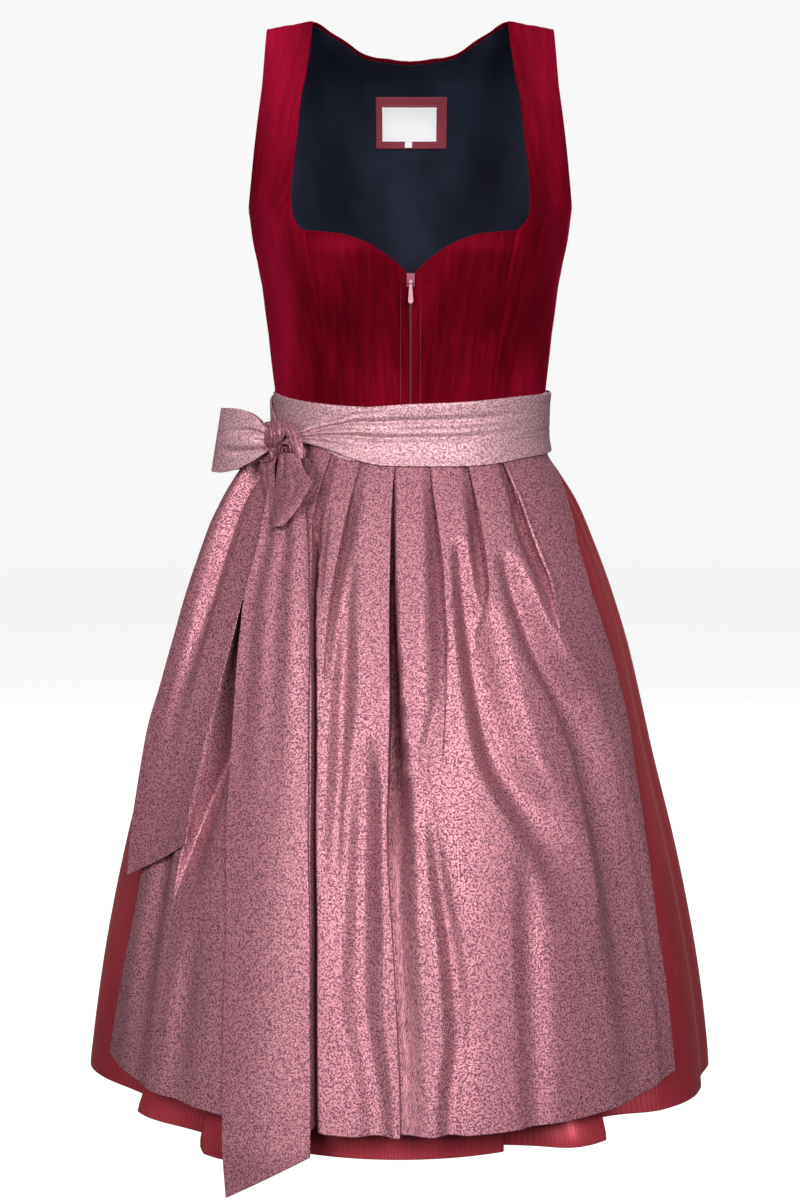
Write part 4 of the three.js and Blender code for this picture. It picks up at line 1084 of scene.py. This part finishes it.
def under_apron(degrees, z):
    left = between(APRON_EDGES, "z", z, "left")
    right = between(APRON_EDGES, "z", z, "right")
    return smooth((np.minimum(degrees - left, right - degrees) + 1) / 8)


def hollow_room(degrees, z):
    """How much further in the skirt lies behind the deepest hollows of the apron."""
    between_tails = 22 * bump((degrees + 45.5) / 12) * bump((z + 600) / 170)
    centre_pleat = 14 * bump((degrees + 1) / 7) * bump((z + 640) / 170)
    return between_tails + centre_pleat


def apron_room(degrees, z):
    """How far in the skirt lies under the apron, further in at the centre of the hem."""
    side = between(APRON_LOFT, "z", z, "side")
    centre = between(APRON_LOFT, "z", z, "centre")
    loft = mix(side, centre, smooth((34 - np.abs(degrees)) / 12))
    return loft + hollow_room(degrees, z)


def skirt_fold(degrees, z):
    share = smooth((WAIST_Z - z) / (WAIST_Z - SKIRT_HEM_Z))
    opening = 0.12 + 0.88 * share ** 0.8
    deepest = np.zeros_like(degrees)
    for fold in each(SKIRT_FOLDS):
        away = np.abs((degrees - fold["at"] + 540) % 360 - 180) / fold["width"]
        deepest = np.maximum(deepest, fold["depth"] * bump(away))
    return deepest * opening * smooth((WAIST_Z - z) / 40)


def skirt_steps(degrees, z):
    opening = smooth((STEP_TOP_Z - z) / (STEP_TOP_Z - SKIRT_HEM_Z))
    back = np.zeros_like(degrees)
    tuck = np.zeros_like(degrees)
    for step in each(SKIRT_STEPS):
        away = (degrees - step["at"]) * step["side"] / step["width"]
        inside = (away > 0) & (away < 1)
        fall = smooth(away / STEP_SHARE)
        rise = smooth((away - STEP_SHARE) / (1 - STEP_SHARE))
        back = np.maximum(back, np.where(inside, step["depth"] * fall * (1 - rise), 0))
        under = step["side"] * step["tuck"] * fall * (1 - smooth((away - STEP_SHARE) / 0.4))
        tuck -= np.where(inside, under, 0)
    return back * opening, tuck * opening


SKIRT_THICK = 1.1
HEM_RADIUS = 300.0

# Small gathers of the skirt below the waist seam: uneven soft troughs
gather_noise = noise(7)
GATHERS = [
    (at + gather_noise.uniform(-1.5, 1.5), gather_noise.uniform(2.0, 3.4),
     gather_noise.uniform(1.6, 3.6), gather_noise.uniform(120, 330))
    for at in np.arange(62, 300, 7.0)
]


def skirt_gathers(degrees, z):
    depth = np.zeros_like(degrees)
    for at, width, deep, length in GATHERS:
        away = (degrees - at) / (width * (1 + (WAIST_Z - z) / 500))
        fade = smooth((WAIST_Z - z) / 14) * (1 - smooth((WAIST_Z - z) / length))
        depth = np.maximum(depth, deep * bump(away) * fade)
    return depth


def skirt_grid(from_, to, columns, rows):
    degrees, v = np.meshgrid(spread(from_, to, columns), rows)
    hem = SKIRT_HEM_Z - FRONT_HEM_DROP * np.maximum(0, cosd(degrees)) ** 0.6
    hem -= STEP_DROP * smooth((degrees + 39) / 2) * (1 - smooth((degrees + 34) / 12))
    z = mix(waist_z(degrees) - SEAM / 2, hem, v)
    cover = under_apron(degrees, z) * apron_room(degrees, z)
    back, tuck = skirt_steps(degrees, z)
    gathers = skirt_gathers(degrees % 360, z) * (1 - under_apron(degrees, z))
    lift = -np.maximum(cover, skirt_fold(degrees, z)) - back - gathers
    out, along = ring_frame(degrees, z)
    points = ring(degrees, z, lift) + along * tuck[..., None]
    return points, (np.radians(degrees) * HEM_RADIUS, travelled(points, 0))


skirt_rows = np.concatenate([spread(0, 0.16, 22)[:-1], spread(0.16, 1, 78)])
for name, from_, to, node, flat in (
    ("taffeta_front", -90, 90, "skirt_front", (1.02, 0.65)),
    ("taffeta_back", 90, 270, "skirt_back", (1.0, 0.65)),
):
    points, coordinates = skirt_grid(from_, to, 330, skirt_rows)
    piece = shell(name, points, SKIRT_THICK, coordinates)
    dress(piece, TAFFETA, [node])

# ---- apron ---------------------------------------------------------------------------

APRON_SPAN = 79.0
APRON_THICK = 1.0
BAND_THICK = 1.6


# Places beside a pleat's line, in degrees towards its hollow, that get a column
LINE_PLACES = (
    -1.6, -1.0, -0.6, -0.3, -0.1, 0, 0.08, 0.16, 0.26, 0.38, 0.52, 0.7, 0.95, 1.25, 1.6, 2,
    2.5, 3.1, 3.9,
)


def apron_columns():
    """Places across the apron at the waistband, closer together beside each pleat."""
    base = list(spread(-APRON_SPAN, APRON_SPAN, 150))
    for side, rows in APRON_PLEATS:
        line = rows["at"][0]
        base = [at for at in base if not -1.9 < (at - line) * side < 4.3]
        base += [line + side * place for place in LINE_PLACES]
    return np.array(sorted(base))


def wobble(degrees, z, seed, amount):
    """The slight unevenness of cloth that hangs."""
    draw = noise(seed)
    height = np.zeros_like(z)
    for _ in range(7):
        around, down, phase = draw.uniform(0.08, 0.34), draw.uniform(0.004, 0.02), draw.uniform(0, 6.3)
        height += np.sin(degrees * around + z * down + phase)
    return height * amount / 7


def apron_relief(degrees, z):
    """How far the apron lies back from its form, and how far it shifts sideways."""
    depth = np.zeros_like(z)
    for rows in APRON_FOLDS:
        line, width, deep, lean = columns_at(rows, "z", z, "at width depth lean")
        away = (degrees - line) / width
        away = np.where(away < 0, away / (1 - 0.1 * lean), away / (1 + 0.9 * lean))
        depth = np.maximum(depth, deep * bump(away))
    shift = np.zeros_like(z)
    for side, rows in APRON_PLEATS:
        line, deep, gap, width, tuck = columns_at(rows, "z", z, "at depth gap width tuck")
        away = (degrees - line) * side
        step = smooth(away / 0.5)
        hollow = step * (1 - smooth((away - gap) / (width - gap)))
        depth = np.maximum(depth, deep * hollow)
        share = smooth(deep / 4)
        shift -= side * tuck * share * step * (1 - smooth((away - 0.5) / (gap + 2)))
        depth -= 1.5 * smooth(deep / 12) * bump((away + 0.9) / 1.5) * (away < 0.3)
    depth += wobble(degrees, z, 11, 1.1) * smooth((-z - 420) / 120)
    return np.minimum(depth, apron_room(degrees, z) + 0.5), shift


def apron_grid():
    base = apron_columns()
    knots = [-APRON_SPAN] + [rows["at"][0] for _, rows in APRON_PLEATS] + [APRON_SPAN]
    down = np.concatenate([spread(0, 0.4, 80)[:-1], spread(0.4, 1, 76)])
    levels = mix(float(apron_top_z(0)), APRON_HEM_Z, down)
    degrees = np.array([
        np.interp(
            base, knots,
            [float(between(APRON_EDGES, "z", level, "left"))]
            + [float(column(rows, "z", "at")(level)) for _, rows in APRON_PLEATS]
            + [float(between(APRON_EDGES, "z", level, "right"))],
        )
        for level in levels
    ])
    corner = np.where(base < 0, APRON_CORNER_RISE_RIGHT, APRON_CORNER_RISE_LEFT)
    rise = corner * (np.abs(base) / APRON_SPAN) ** 2
    z = mix(apron_top_z(base)[None, :], (APRON_HEM_Z + rise)[None, :], down[:, None])
    level = np.broadcast_to(levels[:, None], z.shape)
    depth, shift = apron_relief(degrees, level)
    out, along = ring_frame(degrees, z)
    return ring(degrees, z, APRON_LIFT - depth) + along * shift[..., None]


cloth_piece(
    "apron_cloth", apron_grid(), APRON_THICK, JACQUARD, "jacquard", ["apron_panel"],
    flat=(0.9, 0.6), held="gathered", rests_on=["band_cloth"], area=0.42,
)


def band_grid(degrees, top, bottom, lift, rows, relief=None):
    """Cloth laid round the waist between two edges."""
    u, v = np.meshgrid(np.arange(len(degrees)), spread(0, 1, rows))
    degrees_grid = np.broadcast_to(degrees, u.shape)
    z = mix(np.broadcast_to(top, u.shape), np.broadcast_to(bottom, u.shape), v)
    lift_grid = np.broadcast_to(lift, u.shape).astype(float)
    edge = np.minimum(v, 1 - v)
    lift_grid = lift_grid - 0.5 * (1 - smooth(edge / 0.05))
    if relief is not None:
        lift_grid = lift_grid - relief(degrees_grid, v)
    return ring(degrees_grid, z, lift_grid)


degrees = spread(-79, 79, 150)
top = WAISTBAND_TOP_Z - WAISTBAND_DIP * cosd(degrees)
bottom = apron_top_z(degrees) + 2 * SEAM
grid = band_grid(degrees, top, bottom, WAISTBAND_LIFT, 18)
cloth_piece(
    "band_cloth", grid, BAND_THICK, BAND, "jacquard", ["apron_waistband"],
    flat=(0.31, 0.05), held="stretched", rests_on=["velvet_front_left"],
)

# ---- ties ----------------------------------------------------------------------------

TIE_THICK = 1.5
TIE_START = 79.3


# Long creases of the over tie: where across it, how deep, and how far from the knot
TIE_CREASES = table("share from_ to width depth", """
    0.27 410 300 0.075 3.4, 0.55 410 306 0.085 3.8, 0.41 404 376 0.05 2.0,
    0.42 366 318 0.045 1.3, 0.78 406 372 0.07 1.9, 0.12 396 366 0.06 1.2,
    0.62 300 262 0.05 0.9, 0.30 268 220 0.06 1.0, 0.66 240 190 0.06 1.0
""")


def tie_over_relief(degrees, v):
    at = -degrees
    depth = np.zeros_like(v)
    for row in each(TIE_CREASES):
        share = (row["from_"] - at) / (row["from_"] - row["to"])
        fade = np.where((share > 0) & (share < 1), smooth(share / 0.08) * (1 - share) ** 0.7, 0)
        depth += row["depth"] * bump((v - row["share"]) / row["width"]) * fade
    return depth


at = spread(412, TIE_START, 420)
edges = columns_at(TIE_OVER, "at", at, "top bottom lift")
grid = band_grid(-at, *edges, 34, tie_over_relief)
cloth_piece(
    "tie_over_cloth", grid, TIE_THICK, BAND, "jacquard", ["tie_over"],
    flat=(0.68, 0.055), held="stretched", rests_on=["band_cloth"],
)


def tie_under_relief(degrees, v):
    depth = 0.9 * bump((v - 0.3) / 0.07) * bump((degrees - 140) / 45)
    depth += 0.9 * bump((v - 0.62) / 0.07) * bump((degrees - 215) / 50)
    depth += 1.8 * bump((v - 0.5) / 0.12) * smooth((degrees - 255) / 30)
    return depth


at = spread(TIE_START, 305, 260)
edges = columns_at(TIE_UNDER, "at", at, "top bottom lift")
grid = band_grid(at, *edges, 24, tie_under_relief)
cloth_piece(
    "tie_under_cloth", grid, TIE_THICK, BAND, "jacquard", ["tie_under"],
    flat=(0.46, 0.055), held="stretched", rests_on=["band_cloth"], area=0.0185,
)

# ---- bow -----------------------------------------------------------------------------


def tail_grid(rows, steps, columns, spot):
    u, v = shares(columns, steps)
    z = mix(rows["z"][0], rows["z"][-1], v)
    slant = (1 - u) * smooth((v - TAIL_SLANT_FROM) / (1 - TAIL_SLANT_FROM))
    return spot(rows, u, z, slant, v)


def long_tail_spot(rows, u, z, slant, v):
    outer, inner, lift = columns_at(rows, "z", z, "outer inner lift")
    fade = smooth((z + 760) / 300)
    ripple = 2.2 * np.cos(u * 2 * math.pi * 2.5 + 0.6) * fade
    ripple += 0.8 * np.cos(u * 2 * math.pi + v * 4)
    return ring(mix(outer, inner, u), z - TAIL_LONG_POINT * slant, lift + 1.2 + ripple * 0.6)


def short_tail_spot(rows, u, z, slant, v):
    inner, lift, facing, width = columns_at(rows, "z", z, "inner lift facing width")
    across = (1 - u) * width
    points = ring(inner, z, lift)
    points[..., 0] -= across * cosd(facing)
    points[..., 1] += across * sind(facing)
    points[..., 2] -= TAIL_SHORT_POINT * slant
    valley = mix(0.34, 0.42, smooth((-z - 400) / 120))
    deep = smooth((z + 700) / 240) * 11 * bump((u - valley) / 0.2) * smooth((-z - 388) / 20)
    curl = -3 * bump((u - 0.12) / 0.15) * smooth((z + 640) / 200)
    wave = 1.5 * np.sin(u * 5 + v * 5) * smooth((-z - 480) / 120)
    return pressed(points, deep + curl + wave)


TAIL_THICK = 1.1
cloth_piece(
    "tail_long_cloth", tail_grid(TAIL_LONG, 130, 40, long_tail_spot), TAIL_THICK,
    JACQUARD, "jacquard", ["tail_long"],
    flat=(0.085, 0.66), held="hung", rests_on=["knot_cloth"],
)
cloth_piece(
    "tail_short_cloth", tail_grid(TAIL_SHORT, 100, 40, short_tail_spot), TAIL_THICK,
    JACQUARD, "jacquard", ["tail_short"],
    flat=(0.08, 0.41), held="hung", rests_on=["knot_cloth"],
)

# The knot and the bow's loops are laid out from the knot's seat: along the body
# towards the centre front, up, and out from the body.
KNOT_AT, KNOT_Z, KNOT_LIFT = -52, -388, 17
KNOT_SEAT = ring(KNOT_AT, KNOT_Z, KNOT_LIFT)
KNOT_OUT, KNOT_ALONG = ring_frame(KNOT_AT, KNOT_Z)
SIDE_LOOP = table("along out middle high skew", """
    8 5.5 -387 15 0, 18 6.5 -386 22 0, 32 9.5 -385.5 42 4, 50 11 -386.5 57 8,
    66 9 -387.5 60 11, 78 3 -387.5 59 12, 73 -5 -387.5 58 11, 54 -9 -388 54 8, 34 -6 -387 38 4,
    20 -1.5 -387 20 0, 9 1 -387 12 0
""")
SIDE_LOOP_TURN = 12
SIDE_LOOP_THICK = 1.0
BOW_THICK = 0.9
CURL_THICK = 1.7


def rail_rows(rows):
    return table("along up out", rows)


WRAP_LEFT = rail_rows("""
    -27 17.9 2, -22 13.7 8, -17.1 6.7 12, -19.5 -0.8 11, -24.1 -5.8 6
""")
WRAP_RIGHT = rail_rows("""
    1.7 22.2 2, 9.4 17.7 8, 11.5 10.6 12.5, 6.2 3.1 12.5, -2.2 -4.8 9
""")
CROSS_LEFT = rail_rows("""
    -0.6 20.8 3, 6.9 13.1 10, 14.7 5.3 13, 21.7 -2.7 14.5, 23.4 -11.9 13
""")
CROSS_RIGHT = rail_rows("""
    7.1 19.7 2, 20.7 12.6 6, 29.7 3.9 9.5, 33.9 -4.2 11.5, 34.4 -12.4 12
""")
CURL_LEFT = rail_rows("""
    -19.7 -3.5 12, -12 -5.5 13, -6.7 -9.8 13, -6.1 -14 12.5, -11.1 -17.4 12, -20.8 -19.2 11,
    -27.9 -18.2 10
""")
CURL_RIGHT = rail_rows("""
    2 -8.1 13, 6.2 -1.9 15, 12 1.6 15.5, 18.7 0.5 15.5, 21.5 -4 15, 19.1 -9.2 14, 12.7 -14.1 13
""")
CURL_CORE = rail_rows("""
    3.9 -10 11, 7.4 -3.8 13, 10.7 -2.3 13, 12.1 -5.9 12, 9.4 -11.6 10.5
""")
LEAF_LEFT = rail_rows("""
    3 -9 12, 5.6 -20.7 17, 7.2 -33.3 21, 9.6 -44.1 24.5, 12.3 -55.8 29, 15 -65.6 34,
    21.2 -72.6 38
""")
LEAF_RIGHT = rail_rows("""
    29.7 -8 12, 36.6 -16.7 16, 46.9 -25.4 20, 56.8 -32.2 23, 53 -43.2 27, 46.4 -57.1 31.5,
    33.9 -73 38
""")
LEAF_BACK_OUTER = rail_rows("""
    26.5 -7.3 9, 38 -13.7 11, 47.2 -22 13, 50.7 -30 16, 47.3 -43.7 21, 41.2 -57.6 26,
    30.3 -72.8 34
""")
LEAF_BACK_INNER = rail_rows("""
    9.7 -11.7 7, 17.2 -21.5 9, 23 -31.3 12, 24.6 -43.9 16, 23.2 -57.5 21, 20.5 -72 31
""")
LEAF_SIDE_LEFT = rail_rows("""
    -22 -9 2, -29.5 -22 8, -25.5 -30.5 11, -17.2 -41 15, -5.9 -51.4 20, 5.8 -60.8 26,
    13.8 -67.6 31
""")
LEAF_SIDE_RIGHT = rail_rows("""
    -7 -5 5, -5.6 -18 10, -2.3 -27.6 14, 2.7 -40.1 18, 7.2 -50.8 22.5, 11.9 -60.5 28,
    17.9 -68.3 33
""")


def by_share(rows, name):
    """A column of a table, smooth along its rows from 0 to 1."""
    return curve(spread(0, 1, len(rows[name]) - 1), rows[name])


def from_knot(along, up, out):
    place = KNOT_SEAT + along[..., None] * KNOT_ALONG + out[..., None] * KNOT_OUT
    place[..., 2] += up
    return place


def rail(rows, t):
    return from_knot(*(by_share(rows, name)(t) for name in ("along", "up", "out")))


def between_rails(left, right, steps, columns, belly, creases=None):
    """A strip of cloth from one rail to the other; its rows run along the rails."""
    u, v = shares(columns, steps)
    points = mix(rail(left, v), rail(right, v), u[..., None])
    swell = belly * (1 - (2 * u - 1) ** 2)
    if creases is not None:
        swell = swell - crease_relief(creases, u, v)
    return points + swell[..., None] * KNOT_OUT


CREASE_COLUMNS = "depth across slant wide along long"


def crease_relief(rows, u, v):
    """Creases that run along v: their place across, the slant of it, and their middle."""
    relief = np.zeros_like(u)
    for row in each(rows):
        across = (u - row["across"] - row["slant"] * v) / row["wide"]
        relief += row["depth"] * bump(across) * bump((v - row["along"]) / row["long"])
    return relief


def round_strip(rows, steps, columns, deep):
    """A strip that stands on edge along a rail and runs back towards the body."""
    u, v = shares(columns, steps)
    return rail(rows, v) - (u * deep)[..., None] * KNOT_OUT


def side_loop_grid():
    turn = math.radians(SIDE_LOOP_TURN)
    away = -KNOT_ALONG * math.cos(turn) + KNOT_OUT * math.sin(turn)
    face = KNOT_OUT * math.cos(turn) + KNOT_ALONG * math.sin(turn)
    u, v = np.meshgrid(spread(1, 0, 120), spread(0, 1, 44))
    names = ("along", "out", "middle", "high", "skew")
    along, out, middle, high, skew = (by_share(SIDE_LOOP, name)(u) for name in names)
    front = smooth((0.5 - u) / 0.06)
    upper = bump((v - 0.30 - 0.35 * (u - 0.12)) / 0.085) * bump((u - 0.22) / 0.17)
    lower = bump((v - 0.80 + 0.6 * (u - 0.12)) / 0.10) * bump((u - 0.24) / 0.2)
    short = bump((v - 0.52) / 0.06) * bump((u - 0.14) / 0.07)
    relief = front * (3.4 * upper + 3.2 * lower + 1.4 * short)
    relief -= front * 2.2 * bump((v - 0.55) / 0.3) * bump((u - 0.3) / 0.25)
    relief += (1 - front) * 2.0 * bump((v - 0.45) / 0.12) * bump((u - 0.75) / 0.2)
    place = KNOT_SEAT + (along + (v - 0.5) * skew)[..., None] * away
    place = place + (out - relief)[..., None] * face
    place[..., 2] = middle + (0.5 - v) * high
    return place


cloth_piece(
    "loop_side_cloth", side_loop_grid(), SIDE_LOOP_THICK, BAND, "jacquard", ["loop_side"],
    flat=(0.16, 0.06), held="folded", rests_on=["knot_cloth"], area=0.0066,
)

leaf_front = between_rails(
    LEAF_LEFT, LEAF_RIGHT, 60, 30, 3.5,
    table(CREASE_COLUMNS, "2.2 0.3 0 0.16 0.15 0.3, 1.4 0.62 0 0.14 0.5 0.35"),
)
leaf_back = between_rails(LEAF_BACK_INNER, LEAF_BACK_OUTER, 50, 16, -1.0)
leaf_side = between_rails(
    LEAF_SIDE_LEFT, LEAF_SIDE_RIGHT, 50, 16, 2.0,
    table(CREASE_COLUMNS, "1.2 0.5 0 0.2 0.3 0.4"),
)
cloth_piece(
    "loop_hanging_cloth", [leaf_front, leaf_back, leaf_side], BOW_THICK,
    JACQUARD, "jacquard", ["loop_hanging"],
    flat=(0.14, 0.05), held="folded", rests_on=["knot_cloth"], area=0.0062,
)

WRAP_STEPS, WRAP_COLUMNS = 40, 44
wrap = between_rails(
    WRAP_LEFT, WRAP_RIGHT, WRAP_STEPS, WRAP_COLUMNS, 2.0,
    table(CREASE_COLUMNS, """
        1.8 0.40 0.34 0.06 0.35 0.4, 3.0 0.72 0.14 0.07 0.35 0.38, 1.0 0.10 0.2 0.06 0.3 0.35
    """),
)
u, v = shares(WRAP_COLUMNS, WRAP_STEPS)
long_fold = 3.0 * bump((u - 0.24 - 0.42 * v) / 0.07) * smooth(v / 0.12)
wrap -= long_fold[..., None] * KNOT_OUT
cross_wrap = between_rails(
    CROSS_LEFT, CROSS_RIGHT, 44, 26, 2.0,
    table(CREASE_COLUMNS, "2.2 0.5 -0.2 0.1 0.45 0.45, 1.6 0.78 0 0.09 0.4 0.4"),
)
curl_left = round_strip(CURL_LEFT, 44, 10, 9.0)
curl_right = round_strip(CURL_RIGHT, 48, 10, 9.0)
curl_core = round_strip(CURL_CORE, 30, 8, 7.0)
knot = shell("knot_cloth", [wrap, cross_wrap], BOW_THICK)
dress(knot, JACQUARD, ["knot"])
curls = shell("knot_curls", [curl_left, curl_right, curl_core], CURL_THICK)
dress(curls, JACQUARD)


def knot_core():
    """The hidden middle of the knot: a crumpled lump that the wraps go round."""
    turn, rise = np.meshgrid(spread(0, 2 * math.pi, 40)[:-1], spread(0.08, math.pi - 0.08, 22))
    lump = 1 + 0.06 * np.cos(5 * turn + 3 * rise)
    along = 13 * np.sin(rise) * np.cos(turn) * lump
    up = 11.5 * np.cos(rise)
    out = 8.5 * np.sin(rise) * np.sin(turn) * lump
    points = from_knot(along - 2, up, out + 1)
    rows, columns = turn.shape
    faces = ring_faces(rows, columns, inward=True)
    faces.append(tuple(range(columns)))
    faces.append(tuple((rows - 1) * columns + k for k in reversed(range(columns))))
    flat = np.stack([along, up, out], axis=-1).reshape(-1, 3)
    return add_mesh("knot_core", points.reshape(-1, 3), faces, flat)


core = dress(knot_core(), JACQUARD)

for node, enamel in (("zip_slider", DARK_ENAMEL), ("zip_pull", ENAMEL)):
    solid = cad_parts[node]
    solid.data.materials.clear()
    solid.data.materials.append(enamel)

# ---- floor, light and camera -----------------------------------------------------------

FLOOR_Z = -1.34
FLOOR_RADIUS = 7.0
FLOOR_SIDES = 96
COVE_RADIUS = 2
WALL_HEIGHT = 4.5


def studio():
    """A pale floor that rises into a round wall far behind, on all sides."""
    profile = [(FLOOR_RADIUS, 0.0)]
    for turn in np.linspace(0.1, 1.57, 12):
        outwards, upwards = COVE_RADIUS * math.sin(turn), COVE_RADIUS * (1 - math.cos(turn))
        profile.append((FLOOR_RADIUS + outwards, upwards))
    profile.append((FLOOR_RADIUS + COVE_RADIUS, WALL_HEIGHT))
    vertices = [(0.0, 0.0, 0.0)]
    for radius, height in profile:
        for k in range(FLOOR_SIDES):
            turn = 2 * math.pi * k / FLOOR_SIDES
            vertices.append((radius * math.cos(turn), radius * math.sin(turn), height))
    faces = [(0, 1 + k, 1 + (k + 1) % FLOOR_SIDES) for k in range(FLOOR_SIDES)]
    wall = ring_faces(len(profile), FLOOR_SIDES, inward=True)
    faces += [tuple(i + 1 for i in quad) for quad in wall]
    floor = linked_mesh("floor", vertices, faces)
    floor.location = (0, 0, FLOOR_Z)
    floor.data.materials.append(Graph("floor").finish(
        Base_Color=(0.5, 0.5, 0.5, 1), Roughness=0.95, Specular_IOR_Level=0.0,
        Emission_Color=(1, 1, 1, 1), Emission_Strength=0.84,
    ))
    floor.visible_diffuse = False
    floor.visible_glossy = False


def area_light(name, place, target, size, power):
    data = bpy.data.lights.new(name, "AREA")
    data.shape = "RECTANGLE"
    data.size, data.size_y = size
    data.energy = power
    light = bpy.data.objects.new(name, data)
    light.location = place
    aim = Vector(target) - Vector(place)
    light.rotation_euler = aim.to_track_quat("-Z", "Y").to_euler()
    bpy.context.scene.collection.objects.link(light)


studio()
area_light("key", (1.15, -3.1, 0.9), (0, 0, -0.5), (1.2, 1.5), 88)
area_light("fill", (-1.25, -3.1, 0.7), (0, 0, -0.55), (1.1, 1.4), 77)
area_light("top", (0, -0.3, 2.5), (0, 0, -0.4), (1.6, 1.6), 22)
area_light("rear", (0.4, 3.4, 1.2), (0, 0, -0.5), (2.2, 1.8), 60)

world = bpy.data.worlds.new("studio")
bpy.context.scene.world = world
world.use_nodes = True
sky = world.node_tree.nodes["Background"].inputs
sky["Color"].default_value = (1, 1, 1, 1)
sky["Strength"].default_value = 0.09

camera_data = bpy.data.cameras.new("camera")
camera_data.lens = 72.63
camera_data.sensor_width = 36
camera = bpy.data.objects.new("camera", camera_data)
camera.location = (-0.00958, -2.3027, -0.26026)
camera.rotation_euler = (math.radians(83), 0, 0)
bpy.context.scene.collection.objects.link(camera)
bpy.context.scene.camera = camera
bpy.context.scene.view_settings.view_transform = "Standard"
